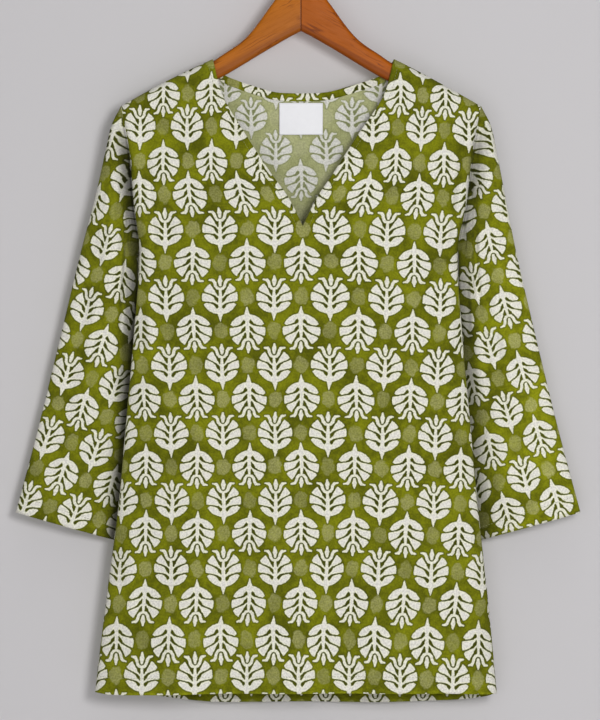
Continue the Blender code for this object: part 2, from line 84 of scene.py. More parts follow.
def buildStudio():
    aim, distance = studio["aim"], studio["distance"]
    lens = bpy.data.cameras.new("camera")
    lens.sensor_width = studio["sensor"]
    lens.lens = studio["sensor"] * distance / studio["frameHeight"]
    camera = addToScene("camera", lens)
    camera.location = (aim[0], aim[1] - distance, aim[2])
    camera.rotation_euler = (math.radians(90), 0, 0)
    bpy.context.scene.camera = camera
    for name, light in studio["lights"].items():
        addLight(name + "Light", aim, *light)

    world = bpy.data.worlds.new("room")
    world.use_nodes = True
    air = world.node_tree.nodes["Background"]
    air.inputs["Color"].default_value = (*studio["roomColour"], 1)
    air.inputs["Strength"].default_value = studio["roomStrength"]
    bpy.context.scene.world = world
    bpy.context.scene.view_settings.view_transform = "Standard"

    bpy.ops.mesh.primitive_plane_add(size=studio["wallSize"],
                                     location=(0, studio["wallY"], studio["wallMiddleZ"]),
                                     rotation=(math.radians(90), 0, 0))
    wall = bpy.context.object
    wall.name = "backWall"
    bpy.ops.mesh.primitive_plane_add(size=studio["floorSize"], location=(0, 0, studio["floorZ"]))
    floor = bpy.context.object
    floor.name = "floor"
    for plane, colour in ((wall, studio["wallColour"]), (floor, studio["floorColour"])):
        paint, tree = newMaterial(plane.name + "Paint", {
            "Base Color": (*colour, 1), "Roughness": studio["paintRoughness"]})[:2]
        if plane is wall:  # only seen from in front, and it keeps no light off the back
            behind = tree.nodes.new("ShaderNodeNewGeometry").outputs["Backfacing"]
            seen = times(tree.nodes.new("ShaderNodeLightPath").outputs["Is Camera Ray"],
                         minus(1.0, behind))
            mixer = tree.nodes.new("ShaderNodeMixShader")
            for k, socket in enumerate((seen, tree.nodes.new("ShaderNodeBsdfTransparent").outputs[0],
                                        tree.nodes["Principled BSDF"].outputs[0])):
                plug(socket, mixer.inputs[k])
            plug(mixer.outputs[0], tree.nodes["Material Output"].inputs["Surface"])
        plane.data.materials.append(paint)
    print("studio ready")


# shader helpers

def isSocket(value):
    return isinstance(value, bpy.types.NodeSocket)


def plug(value, socket):
    if isSocket(value):
        socket.id_data.links.new(value, socket)
    else:
        socket.default_value = value


def nodeFor(values, kind):
    # a new node beside those that the values come from
    return next(filter(isSocket, values)).id_data.nodes.new("ShaderNode" + kind)


def doMath(operation, *values, clamp=False):
    node = nodeFor(values, "Math")
    node.operation = operation
    node.use_clamp = clamp
    for value, socket in zip(values, node.inputs):
        plug(value, socket)
    return node.outputs[0]


def plus(a, b):
    return doMath("ADD", a, b)


def minus(a, b):
    return doMath("SUBTRACT", a, b)


def times(a, b):
    return doMath("MULTIPLY", a, b)


def timesPlus(a, b, c):
    return doMath("MULTIPLY_ADD", a, b, c)


def doVector(operation, *values, scale=None):
    node = nodeFor((*values, scale), "VectorMath")
    node.operation = operation
    for value, socket in zip(values, node.inputs):
        plug(value, socket)
    if scale is not None:
        plug(scale, node.inputs["Scale"])
    single = operation in ("LENGTH", "DISTANCE", "DOT_PRODUCT")
    return node.outputs["Value" if single else "Vector"]


def axesOf(value):
    node = nodeFor([value], "SeparateXYZ")
    plug(value, node.inputs[0])
    return node.outputs


def reach(value, low, high, toLow=0.0, toHigh=1.0):
    node = nodeFor([value], "MapRange")
    node.interpolation_type = "SMOOTHSTEP"
    for name, v in (("Value", value), ("From Min", low), ("From Max", high),
                    ("To Min", toLow), ("To Max", toHigh)):
        plug(v, node.inputs[name])
    return node.outputs["Result"]


def blendColour(share, one, two, kind="MIX"):
    node = nodeFor((share, one, two), "Mix")
    node.data_type = "RGBA"
    node.blend_type = kind
    plug(share, node.inputs[0])
    for k, colour in ((6, one), (7, two)):       # the node's two colours
        plug(colour if isSocket(colour) else (*colour, 1), node.inputs[k])
    return node.outputs[2]


def greyOf(value):
    node = nodeFor([value], "CombineColor")
    for k in range(3):
        plug(value, node.inputs[k])
    return node.outputs[0]


def noise(place, scale, detail=2.0, rough=0.5, output="Fac"):
    node = nodeFor([place], "TexNoise")
    plug(place, node.inputs["Vector"])
    node.inputs["Scale"].default_value = scale
    node.inputs["Detail"].default_value = detail
    node.inputs["Roughness"].default_value = rough
    return node.outputs[output]


def bump(height, strength, distance):
    node = nodeFor([height], "Bump")
    node.inputs["Strength"].default_value = strength
    node.inputs["Distance"].default_value = distance
    plug(height, node.inputs["Height"])
    return node


def newGroup(name, inputs, outputs):
    tree = bpy.data.node_groups.new(name, "ShaderNodeTree")
    for title, kind, value in inputs:
        socket = tree.interface.new_socket(title, in_out="INPUT", socket_type="NodeSocket" + kind)
        if value is not None:
            socket.default_value = value
    for title in outputs:
        tree.interface.new_socket(title, in_out="OUTPUT", socket_type="NodeSocketFloat")
    return tree, tree.nodes.new("NodeGroupInput").outputs, tree.nodes.new("NodeGroupOutput").inputs


def useGroup(group, values):
    node = nodeFor(values.values(), "Group")
    node.node_tree = group
    for title, value in values.items():
        plug(value, node.inputs[title])
    return node.outputs


def newMaterial(name, values):
    material = bpy.data.materials.new(name)
    material.use_nodes = True
    inputs = material.node_tree.nodes["Principled BSDF"].inputs
    for title, value in values.items():
        inputs[title].default_value = value
    return material, material.node_tree, inputs


def objectPlace(tree):
    return tree.nodes.new("ShaderNodeTexCoord").outputs["Object"]


def clothPlace(tree):
    node = tree.nodes.new("ShaderNodeUVMap")
    node.uv_map = "cloth"
    return node.outputs["UV"]


# the printed leaf, in millimetres from its middle, stem down

leafBlock = {
    "oval": (0.8, 21.6, 19.6),        # middle height, half width and half height
    "gaps": [                         # half of the cuts between the lobes: x, y, half width
        [(2.5, -13.4, 0.9), (4.3, -9.8, 2.2), (7.2, -6.9, 1.4), (11.5, -5.4, 0.9), (17.0, -4.3, 0.9),
         (23.0, -5.4, 3.0)],
        [(2.8, -4.4, 0.9), (4.4, -1.2, 2.2), (7.2, 2.3, 1.4), (11.5, 4.7, 0.9), (17.2, 6.9, 0.9),
         (23.0, 10.4, 2.7)],
        [(2.7, 3.8, 1.1), (3.6, 8.2, 2.8), (3.2, 24.0, 13.4)],
    ],
    "strokes": [
        [(0.0, 10.5, 1.5), (0.0, -16.0, 1.9)],                        # stem
        [(0.0, -15.0, 4.4), (0.0, -19.6, 2.8), (0.0, -27.2, 0.5)],    # its point
        [(0.0, 25.6, 1.2), (0.0, 20.4, 2.8), (0.0, 15.4, 1.6)],       # bud
        [(0.0, 10.6, 1.4), (3.4, 11.6, 1.6), (5.6, 14.4, 1.8), (6.6, 18.4, 1.8), (8.4, 21.2, 1.7),
         (12.8, 22.0, 0.9)],                                          # petals round the bud
    ],
    "cutRounding": 1.3,
    "joinRounding": 1.5,
    "pitch": (65.28, 81.12),
    "uprightAt": (32.64, -372.7),
    "turnedAt": (0.0, -411.0),
    "waver": (0.022, 1.0, 4.5),       # noise scale and detail, and how far it moves the print
    "shake": (0.35, 2.0, 1.5),
    "fray": (1.4, 2.0, 0.9),          # of the leaf's edge: noise scale, detail and width
    "softEdge": 0.55,
    "rim": (-1.8, -0.4),              # from how far inside the edge, to where
    "moat": (2.4, 0.5, 0.60),         # from how far outside the edge, to where, strength
    "pool": (-1.0, -3.5),             # dye gathers most inside the leaf: from where, to where
    "dotRadii": (8.2, 9.8),
    "dotLift": {"uprightAt": 1.5, "turnedAt": -0.5},
    "dotFray": (0.13, 1.5, 0.9),
    "dotEdge": (1.12, 0.86),
    "dotPatches": (0.018, 1.0, 0.32, 0.68, 0.60, 1.0),    # noise scale, detail and range, strength
    "dotSpeckle": (0.5, 2.0, 0.35, 0.65, 0.55, 1.0),
    "mottle": ((0.024, 3.0, 0.55), (0.13, 3.0, 0.6), 0.35),   # broad and fine noise, share of the fine
    "mottleRange": (0.34, 0.66),
    "grain": (0.42, 3.0, 0.65),
}
never = 99.0                          # a row that the print doesn't reach


def nearestOf(place, lines):
    least = None
    for line in lines:
        for (x, y, width), (nextX, nextY, nextWidth) in zip(line, line[1:]):
            run = Vector((nextX - x, nextY - y, 0))
            fromStart = doVector("SUBTRACT", place, (x, y, 0))
            passed = doVector("DOT_PRODUCT", fromStart, run / run.length_squared)
            share = doMath("ADD", passed, 0.0, clamp=True)
            onLine = doVector("SCALE", run, scale=share)
            halfWidth = timesPlus(share, nextWidth - width, width)
            gap = minus(doVector("DISTANCE", fromStart, onLine), halfWidth)
            least = gap if least is None else doMath("MINIMUM", least, gap)
    return least


def makeLeafGroup():
    tree, given, made = newGroup("printedLeaf", [("Place", "Vector", None)], ["Distance", "Blade"])
    # both halves of the leaf are alike, so x counts from its middle either way
    half = doVector("MULTIPLY", doVector("ABSOLUTE", given["Place"]), (1, 0, 0))
    place = doVector("ADD", half, doVector("MULTIPLY", given["Place"], (0, 1, 0)))
    middleY, halfWidth, halfHeight = leafBlock["oval"]
    centred = doVector("SUBTRACT", place, (0, middleY, 0))
    squeezed = doVector("MULTIPLY", centred, (1, halfWidth / halfHeight, 0))
    blade = minus(doVector("LENGTH", squeezed), halfWidth)
    cuts = times(nearestOf(place, leafBlock["gaps"]), -1.0)
    lobes = doMath("SMOOTH_MAX", blade, cuts, leafBlock["cutRounding"])
    strokes = nearestOf(place, leafBlock["strokes"])
    plug(doMath("SMOOTH_MIN", lobes, strokes, leafBlock["joinRounding"]), made["Distance"])
    plug(blade, made["Blade"])
    return tree


def makePrintGroup(leafGroup):
    tree, given, made = newGroup(
        "blockPrint",
        [("Cloth", "Vector", None), ("Shift", "Vector", (0, 0, 0)), ("Size", "Float", 1.0),
         ("Upright Slip", "Float", never), ("Turned Slip", "Float", never), ("Odd Row", "Float", never)],
        ["Leaf", "Rim", "Moat", "Dot", "Mottle", "Grain"])
    pitchX, pitchY = leafBlock["pitch"]
    inMillimetres = doVector("SCALE", given["Cloth"], scale=1000.0)
    sized = doVector("SCALE", doVector("SUBTRACT", inMillimetres, given["Shift"]), scale=given["Size"])
    cloth = sized
    for name in ("waver", "shake"):
        scale, detail, far = leafBlock[name]
        sway = doVector("SUBTRACT", noise(sized, scale, detail, output="Color"), (0.5, 0.5, 0.5))
        cloth = doVector("ADD", cloth, doVector("SCALE", sway, scale=far))
    cloth = doVector("MULTIPLY", cloth, (1, 1, 0))

    def cell(at):
        return doVector("WRAP", doVector("SUBTRACT", cloth, (*at, 0)), (pitchX / 2, pitchY / 2, 1),
                        (-pitchX / 2, -pitchY / 2, -1))

    def frayed(distance, name):
        scale, detail, width = leafBlock[name]
        return plus(distance, timesPlus(noise(sized, scale, detail), width, -width / 2))

    distance = blade = None
    for at, way, slip in ((leafBlock["uprightAt"], 1.0, given["Upright Slip"]),
                          (leafBlock["turnedAt"], -1.0, given["Turned Slip"])):
        row = doMath("ROUND", doMath("DIVIDE", minus(axesOf(cloth)[1], at[1]), pitchY))
        past = doMath("MAXIMUM", doMath("GREATER_THAN", row, slip),
                      doMath("COMPARE", row, given["Odd Row"], 0.5))
        turned = nodeFor([past], "CombineXYZ")
        turned.inputs[0].default_value = 1
        plug(timesPlus(past, -2 * way, way), turned.inputs[1])
        leaf = useGroup(leafGroup, {"Place": doVector("MULTIPLY", cell(at), turned.outputs[0])})
        if distance is None:
            distance, blade = leaf["Distance"], leaf["Blade"]
        else:
            distance = doMath("MINIMUM", distance, leaf["Distance"])
            blade = doMath("MINIMUM", blade, leaf["Blade"])
    ragged = frayed(distance, "fray")
    plug(reach(ragged, leafBlock["softEdge"], -leafBlock["softEdge"]), made["Leaf"])
    plug(reach(ragged, *leafBlock["rim"]), made["Rim"])
    outside, inside, strength = leafBlock["moat"]
    plug(doMath("MAXIMUM", reach(distance, outside, inside, 0.0, strength),
                reach(blade, *leafBlock["pool"])), made["Moat"])

    (uprightX, uprightY), (turnedX, turnedY) = leafBlock["uprightAt"], leafBlock["turnedAt"]
    lift = leafBlock["dotLift"]
    dots = [doVector("LENGTH", doVector("DIVIDE", cell(at), (*leafBlock["dotRadii"], 1)))
            for at in ((uprightX, turnedY + lift["turnedAt"]), (turnedX, uprightY + lift["uprightAt"]))]
    dot = reach(frayed(doMath("MINIMUM", *dots), "dotFray"), *leafBlock["dotEdge"])
    for name in ("dotPatches", "dotSpeckle"):
        scale, detail, *limits = leafBlock[name]
        dot = times(dot, reach(noise(sized, scale, detail), *limits))
    plug(dot, made["Dot"])

    broad, fine, share = leafBlock["mottle"]
    mottle = timesPlus(noise(sized, *fine), share, times(noise(sized, *broad), 1 - share))
    plug(reach(mottle, *leafBlock["mottleRange"]), made["Mottle"])
    plug(noise(sized, *leafBlock["grain"]), made["Grain"])
    return tree


weave = {
    "threads": 1700.0,        # in a metre
    "waveScale": 0.314,       # the wave texture's scale for one band in a metre
    "waver": 0.6,
    "slub": (260.0, 0.8),     # noise scale and height
}


def makeWeaveGroup():
    tree, given, made = newGroup("plainWeave", [("Cloth", "Vector", None),
                                                ("Threads", "Float", weave["threads"])], ["Height"])
    bands = []
    for direction in ("X", "Y"):
        wave = tree.nodes.new("ShaderNodeTexWave")
        wave.bands_direction = direction
        plug(given["Cloth"], wave.inputs["Vector"])
        plug(times(given["Threads"], weave["waveScale"]), wave.inputs["Scale"])
        wave.inputs["Distortion"].default_value = weave["waver"]
        bands.append(wave.outputs["Fac"])
    scale, height = weave["slub"]
    plug(timesPlus(noise(given["Cloth"], scale, 3.0, 0.6), height, times(*bands)), made["Height"])
    return tree


cottonLooks = {
    "printed": {
        "groundDark": (0.094, 0.101, 0.0020), "groundLight": (0.226, 0.242, 0.0050),
        "moatColour": (0.038, 0.044, 0.0020), "moatShare": 0.82,
        "dotColour": (0.390, 0.385, 0.150), "dotShare": 0.80,
        "leafColour": (0.780, 0.760, 0.685), "rimColour": (0.860, 0.865, 0.620), "rimShare": 0.75,
        "roughness": 0.86, "sheen": 0.02, "specular": 0.09,
    },
    "wrongSide": {
        "groundDark": (0.320, 0.336, 0.146), "groundLight": (0.468, 0.478, 0.245),
        "moatColour": (0.170, 0.195, 0.080), "moatShare": 0.75,
        "dotColour": (0.420, 0.420, 0.250), "dotShare": 0.5,
        "leafColour": (0.700, 0.690, 0.640), "rimColour": (0.660, 0.660, 0.520), "rimShare": 0.5,
        "roughness": 0.9, "sheen": 0.04, "specular": 0.15,
    },
    "leafSmoother": 0.06,
    "sheenRoughness": 0.6,
    "fading": (0.34, 0.66, 0.82, 1.10),   # the grain's range, and the colour's strength
    "leafLightShare": 0.15,           # how much of the painted light the white leaf takes
    # how dark the painted shade in the folds is at its deepest
    "paintedShadeStrength": 0.84,
    "threadRelief": (0.35, 0.00012),  # strength and height
    "crumple": (46.0, 0.8, 0.0011),   # noise scale, strength and height
}


# where each piece lies on the print: a shift in millimetres, how much smaller the print is, the
# row of upright and of turned leaves past which they lie the other way, and one more such row
printPlaces = {
    "front": {"slips": (0.5, 1.5), "oddRow": -6},
    "back": {"shift": (0, -9.4), "size": 1.09, "slips": (never, 1.5)},
    "sleeveLeft": {"shift": (-18.9, 16.3), "size": 1.08},
    "sleeveRight": {"shift": (33.7, -12.1), "size": 1.08},
    "facing": {"shift": (8.0, 30.0), "size": 1.1},
}


def makeCotton(name, look, printGroup, weaveGroup, shift=(0, 0), size=1.0, slips=(never, never),
               oddRow=never):
    colours = cottonLooks[look]
    material, tree, inputs = newMaterial(name, {
        "Specular IOR Level": colours["specular"], "Sheen Weight": colours["sheen"],
        "Sheen Roughness": cottonLooks["sheenRoughness"]})
    flat = clothPlace(tree)
    masks = useGroup(printGroup, {"Cloth": flat, "Shift": (*shift, 0), "Size": size, "Odd Row": oddRow,
                                  "Upright Slip": slips[0], "Turned Slip": slips[1]})
    cloth = blendColour(masks["Mottle"], colours["groundDark"], colours["groundLight"])
    for mask in ("moat", "dot"):
        cloth = blendColour(times(masks[mask.capitalize()], colours[mask + "Share"]), cloth,
                            colours[mask + "Colour"])
    ink = blendColour(times(masks["Rim"], colours["rimShare"]), colours["leafColour"],
                      colours["rimColour"])
    inked = blendColour(masks["Leaf"], cloth, ink)
    # painted shade in the folds and painted light on the cloth, from each point's stored value
    paintedShade = tree.nodes.new("ShaderNodeAttribute")
    paintedShade.attribute_name = "paintedShade"
    paintedShadeValue = paintedShade.outputs["Fac"]     # painted shade, from 0 to 1 in a fold; below 0 it is painted light
    paintedLightTaken = timesPlus(masks["Leaf"], cottonLooks["leafLightShare"] - 1.0, 1.0)
    paintedShading = timesPlus(doMath("MAXIMUM", paintedShadeValue, times(paintedShadeValue, paintedLightTaken)), -cottonLooks["paintedShadeStrength"], 1.0)
    faded = reach(masks["Grain"], *cottonLooks["fading"])
    plug(blendColour(1.0, inked, greyOf(times(faded, paintedShading)), "MULTIPLY"), inputs["Base Color"])
    rough = colours["roughness"]
    plug(reach(masks["Leaf"], 0, 1, rough, rough - cottonLooks["leafSmoother"]), inputs["Roughness"])
    threads = bump(useGroup(weaveGroup, {"Cloth": flat})["Height"], *cottonLooks["threadRelief"])
    scale, strength, height = cottonLooks["crumple"]
    soft = bump(noise(flat, scale, 3.0, 0.55), strength, height)
    plug(threads.outputs[0], soft.inputs["Normal"])
    plug(soft.outputs[0], inputs["Normal"])
    return material


# the garment's form, as the solids have it

garment = {
    "wall": 0.0009,
    "hemWall": 0.0018,
    "seamGap": 0.0003,
    "neckPoint": (0.1056, -0.1684),
    "shoulderEnd": (0.2148, -0.2244),
    "vPointZ": -0.3684,
    "underarmZ": -0.398,
    "inside": (0, 0, -0.6),
    "ridgeBulge": 0.002,
    "roundness": 2.3,
    "capDrop": 0.012,
    "armholeDepth": 0.015,
    "armholeTopDepth": 0.0105,
    "armholeRound": 0.30,
    "armholeReach": 6,
    "sections": [              # z, half width, shift, front depth, back depth
        (-0.160, 0.2200, 0.0000, 0.0105, 0.0105),
        (-0.2244, 0.2148, 0.0000, 0.0140, 0.0120),
        (-0.280, 0.2050, 0.0000, 0.0180, 0.0150),
        (-0.340, 0.1990, -0.0010, 0.0213, 0.0183),
        (-0.398, 0.1905, -0.0030, 0.0240, 0.0214),
        (-0.500, 0.1965, -0.0035, 0.0274, 0.0256),
        (-0.600, 0.2055, -0.0035, 0.0293, 0.0281),
        (-0.700, 0.2145, -0.0035, 0.0300, 0.0290),
        (-0.800, 0.2265, -0.0045, 0.0305, 0.0300),
        (-0.940, 0.2420, -0.0065, 0.0320, 0.0315),
    ],
    "neck": {
        "front": [(0.0000, -0.3684), (0.0170, -0.3345), (0.0384, -0.3036), (0.0700, -0.2535),
                  (0.0930, -0.2135), (0.1056, -0.1684)],
        "back": [(0.0000, -0.2087), (0.0300, -0.2072), (0.0540, -0.2008), (0.0756, -0.1935),
                 (0.0940, -0.1850), (0.1056, -0.1684)],
    },
    "hem": [                   # share of the half width, front and back height
        (-1.00, -0.9245, -0.9245), (-0.92, -0.9268, -0.9276), (-0.75, -0.9268, -0.9300),
        (-0.60, -0.9258, -0.9350), (-0.45, -0.9248, -0.9384), (0.00, -0.9242, -0.9391),
        (0.50, -0.9244, -0.9388), (0.72, -0.9250, -0.9368), (0.85, -0.9258, -0.9342),
        (0.95, -0.9266, -0.9304), (1.00, -0.9262, -0.9262),
    ],
    "foldEndZ": -0.939,
    "folds": {                 # x at start and hem, z of start, half width, height
        "front": [
            (-0.112, -0.150, -0.42, 0.030, 0.0055), (-0.060, -0.082, -0.56, 0.026, -0.0045),
            (-0.010, -0.020, -0.52, 0.030, 0.0040), (0.048, 0.052, -0.60, 0.026, -0.0040),
            (0.104, 0.122, -0.44, 0.032, 0.0055), (0.150, 0.176, -0.55, 0.022, -0.0040),
        ],
        "back": [
            (-0.130, -0.160, -0.46, 0.030, 0.0055), (-0.070, -0.090, -0.36, 0.030, -0.0050),
            (0.000, 0.005, -0.44, 0.034, 0.0060), (0.070, 0.088, -0.38, 0.030, -0.0050),
            (0.128, 0.158, -0.48, 0.030, 0.0055),
        ],
    },
    "creases": {               # from x, z to x, z, half width, height
        "front": [
            (-0.1975, -0.262, -0.1850, -0.395, 0.0052, 0.0040),
            (-0.1860, -0.270, -0.1740, -0.405, 0.0045, -0.0032),
            (-0.1900, -0.345, -0.1600, -0.440, 0.0070, 0.0026),
            (-0.1800, -0.370, -0.1500, -0.450, 0.0060, -0.0024),
            (-0.1840, -0.400, -0.1790, -0.560, 0.0060, 0.0026),
            (-0.1720, -0.300, -0.1500, -0.420, 0.0080, -0.0018),
            (0.1985, -0.250, 0.1830, -0.400, 0.0052, 0.0040),
            (0.1865, -0.262, 0.1720, -0.410, 0.0045, -0.0034),
            (0.1880, -0.350, 0.1620, -0.455, 0.0075, 0.0026),
            (0.1780, -0.372, 0.1520, -0.460, 0.0060, -0.0024),
            (0.1800, -0.400, 0.1780, -0.600, 0.0060, 0.0026),
            (0.1650, -0.300, 0.1480, -0.430, 0.0080, -0.0018),
            (-0.172, -0.250, -0.070, -0.330, 0.0160, -0.0012),
            (0.170, -0.255, 0.072, -0.335, 0.0160, -0.0012),
            (-0.060, -0.300, -0.012, -0.372, 0.0090, 0.0012),
            (0.062, -0.296, 0.012, -0.372, 0.0090, 0.0012),
            (-0.205, -0.720, -0.200, -0.930, 0.0100, 0.0020),
            (0.203, -0.700, 0.206, -0.930, 0.0100, 0.0020),
            (-0.110, -0.800, -0.118, -0.940, 0.0130, -0.0016),
            (0.078, -0.820, 0.084, -0.940, 0.0140, 0.0016),
        ],
        "back": [
            (-0.195, -0.250, -0.182, -0.385, 0.0075, 0.0026),
            (-0.178, -0.270, -0.168, -0.380, 0.0070, -0.0020),
            (0.197, -0.248, 0.184, -0.382, 0.0075, 0.0026),
            (0.179, -0.275, 0.166, -0.376, 0.0070, -0.0021),
            (-0.186, -0.360, -0.120, -0.470, 0.0100, 0.0018),
            (0.186, -0.355, 0.124, -0.462, 0.0100, 0.0018),
            (-0.120, -0.225, -0.060, -0.300, 0.0150, -0.0012),
            (0.120, -0.225, 0.066, -0.305, 0.0150, -0.0012),
            (-0.060, -0.760, -0.066, -0.945, 0.0140, 0.0018),
            (0.064, -0.790, 0.070, -0.945, 0.0140, 0.0017),
            (-0.198, -0.700, -0.204, -0.930, 0.0100, 0.0018),
            (0.197, -0.720, 0.205, -0.930, 0.0100, 0.0018),
        ],
    },
    "leans": {                 # how far right, round which x, how wide, above which z, over what
        "front": [(0.0055, 0.105, 0.045, -0.30, 0.10), (0.0022, 0.0, 0.055, -0.44, 0.07)],
        "back": [(0.0055, 0.105, 0.045, -0.30, 0.10)],
    },
    "crumple": 0.00038,
    "calmTop": 0.04,           # the fine creases fade in over this much below the shoulder
    "calmSide": 30,
    "seamDip": (0.0009, 0.0022, 0.01, 0.004),    # depth, half width, below the shoulder, past the arm
    "halfColumns": 72,
    "rows": 140,
    "yokeRows": 60,
    "neckCrowding": 2.2,
    "hemDepth": 0.022,
    "neckTurn": 0.011,
    "wallStep": 0.002,
    "neckReach": (0.12, 0.02),                   # to which x, and how far below the V's point
    "neckSteps": 60,
    "seamShade": (0.6, 0.0035, 0.01, 0.02, 0.05),   # painted shade beside the armhole seam: strength, spread, below, over, under the top
    "shadeTopX": 0.2,
    "hemPaintedHighlight": (0.75, 0.0012, 0.0010),          # painted highlight along the front hem's edge: strength, how far up, over what
    "printDrift": [            # z, how far the print has strayed at the left and the right side
        (-0.30, -0.0020, -0.0060), (-0.45, -0.0040, -0.0055), (-0.615, -0.0106, 0.0004),
        (-0.86, -0.0106, 0.0083), (-0.95, -0.0106, 0.0090),
    ],
    "driftSide": (0.155, 1.15),      # x where that is in full, and how much sooner on the right
    "printSpread": (0.12, 0.192, 0.075),     # share, up to which x, over what above the V's point
    "printOverTop": 0.005,
    "printSag": (0.0048, -0.83, 0.08),   # how far down, from which z, over what height
    "printFall": {-1: 0.0010, 1: 0.0038},    # how far down towards each side
    "fallPower": 1.6,
    "printLift": (0.0024, -0.74, 0.075),     # how far up, round which z, how far round
    "printStep": (0.0028, -0.80, 0.05),      # how far left, from which z, over what height
}


def smoothCurve(keys, values):
    if keys[0] > keys[-1]:
        keys, values = keys[::-1], values[::-1]
    last = len(keys) - 1
    slopes = []
    for k in range(last + 1):
        low, high = max(k - 1, 0), min(k + 1, last)
        slopes.append((values[high] - values[low]) / (keys[high] - keys[low]))

    def read(at):
        at = min(max(at, keys[0]), keys[-1])
        i = min(max(bisect.bisect_left(keys, at) - 1, 0), last - 1)
        span = keys[i + 1] - keys[i]
        t = (at - keys[i]) / span
        return ((2 * t**3 - 3 * t * t + 1) * values[i] + (t**3 - 2 * t * t + t) * span * slopes[i]
                + (3 * t * t - 2 * t**3) * values[i + 1] + (t**3 - t * t) * span * slopes[i + 1])
    return read


def columnCurve(rows, column, key=0):
    return smoothCurve([row[key] for row in rows], [row[column] for row in rows])


def edgeCurve(points):
    lengths = [0.0]
    for (ax, az), (bx, bz) in zip(points, points[1:]):
        lengths.append(lengths[-1] + math.hypot(bx - ax, bz - az))
    shares = [length / lengths[-1] for length in lengths]
    readX = smoothCurve(shares, [p[0] for p in points])
    readZ = smoothCurve(shares, [p[1] for p in points])
    return lambda share: (readX(share), readZ(share))


halfWidthAt = columnCurve(garment["sections"], 1)
shiftAt = columnCurve(garment["sections"], 2)
depthAt, hemAt, neckAt = {}, {}, {}
for k, panel in enumerate(("front", "back")):
    depthAt[panel] = columnCurve(garment["sections"], 3 + k)
    hemAt[panel] = columnCurve(garment["hem"], 1 + k)
    neckAt[panel] = edgeCurve(garment["neck"][panel])
driftAt = {side: columnCurve(garment["printDrift"], k) for k, side in ((1, -1), (2, 1))}


def smoothStep(t):
    t = min(max(t, 0.0), 1.0)
    return t * t * (3 - 2 * t)


def mix(a, b, t):
    return a + (b - a) * t


def bell(x, middle, spread):
    return math.exp(-((x - middle) / spread)**2)


def crowded(step, steps):
    return (1 - math.cos(math.pi * step / steps)) / 2


def ridgeZ(x):
    neckX, neckZ = garment["neckPoint"]
    endX, endZ = garment["shoulderEnd"]
    run = (abs(x) - neckX) / (endX - neckX)
    return mix(neckZ, endZ, run) + garment["ridgeBulge"] * math.sin(math.pi * min(max(run, 0.0), 1.0))


def armholeDepth(z):
    up = (z - garment["underarmZ"]) / (garment["shoulderEnd"][1] - garment["underarmZ"])
    if up <= 0:
        return 0.0
    rounding = 1 - min(up / garment["armholeRound"], 1.0)
    return mix(garment["armholeDepth"], garment["armholeTopDepth"], min(up, 1.0)) * math.sqrt(
        1 - rounding**2)


creaseEnds = (0.15, 0.45, 3)   # past each end, fading over, and half widths reached


def creaseSum(creases, x, z):
    total = 0.0
    past, over, reached = creaseEnds
    for x0, z0, x1, z1, width, height in creases:
        runX, runZ = x1 - x0, z1 - z0
        length = runX * runX + runZ * runZ
        t = ((x - x0) * runX + (z - z0) * runZ) / length
        off = abs((x - x0) * runZ - (z - z0) * runX) / math.sqrt(length)
        if -past < t < 1 + past and off <= reached * width:
            fade = smoothStep((t + past) / over) * smoothStep((1 + past - t) / over)
            total += height * fade * bell(off, 0, width)
    return total


def crumpleAt(x, z):
    # fine creases all over, from uneven waves that bend one another
    return garment["crumple"] * (
        math.sin(61 * x + 1.6 * math.sin(34 * z + 0.7)) * math.cos(23 * z + 0.4)
        + math.sin(47 * z + 1.9 * math.sin(52 * x + 1.1))
        + 0.7 * math.sin(118 * x + 57 * z + 1.3 * math.sin(71 * z)))


def foldHeight(panel, x, z):
    total = 0.0
    for startX, hemX, startZ, halfWidth, height in garment["folds"][panel]:
        if z <= startZ:
            down = (startZ - z) / (startZ - garment["foldEndZ"])
            middle = mix(startX, hemX, down)
            total += height * smoothStep(down) * bell(x, middle, halfWidth)
    return total


def neckLean(panel, x, z):
    return sum(far * bell(x, middle, spread) * smoothStep((z - startZ) / over)
               for far, middle, spread, startZ, over in garment["leans"][panel])


def panelPoint(panel, u, z, fine=True):
    width = halfWidthAt(z)
    x = u * width + u * u * shiftAt(z)
    lens = max(1 - abs(u)**garment["roundness"], 0.0)**(1 / garment["roundness"])
    atArmhole = armholeDepth(z) * abs(u)**garment["armholeReach"]
    below = max(ridgeZ(x) - z, 0.0)
    cap = math.sqrt(1 - (1 - min(below / garment["capDrop"], 1.0))**2)
    y = math.hypot(depthAt[panel](z) * lens, atArmhole) * cap
    y += foldHeight(panel, x, z) * (1 - u**4)
    if fine:
        calm = smoothStep(below / garment["calmTop"]) * (1 - abs(u)**garment["calmSide"])
        y += (creaseSum(garment["creases"][panel], x, z) + crumpleAt(x, z)) * calm
        depth, halfWidth, over, pastArm = garment["seamDip"]
        if z > garment["underarmZ"] - pastArm:
            fromSeam = (1 - abs(u)) * width
            y -= depth * bell(fromSeam, 0, halfWidth) * smoothStep(below / over)
    y = garment["seamGap"] / 2 + max(y, 0.0)
    return Vector((x + neckLean(panel, x, z), -y if panel == "front" else y, z))


def yokeZ(u):
    return mix(garment["vPointZ"], garment["underarmZ"], u * u)


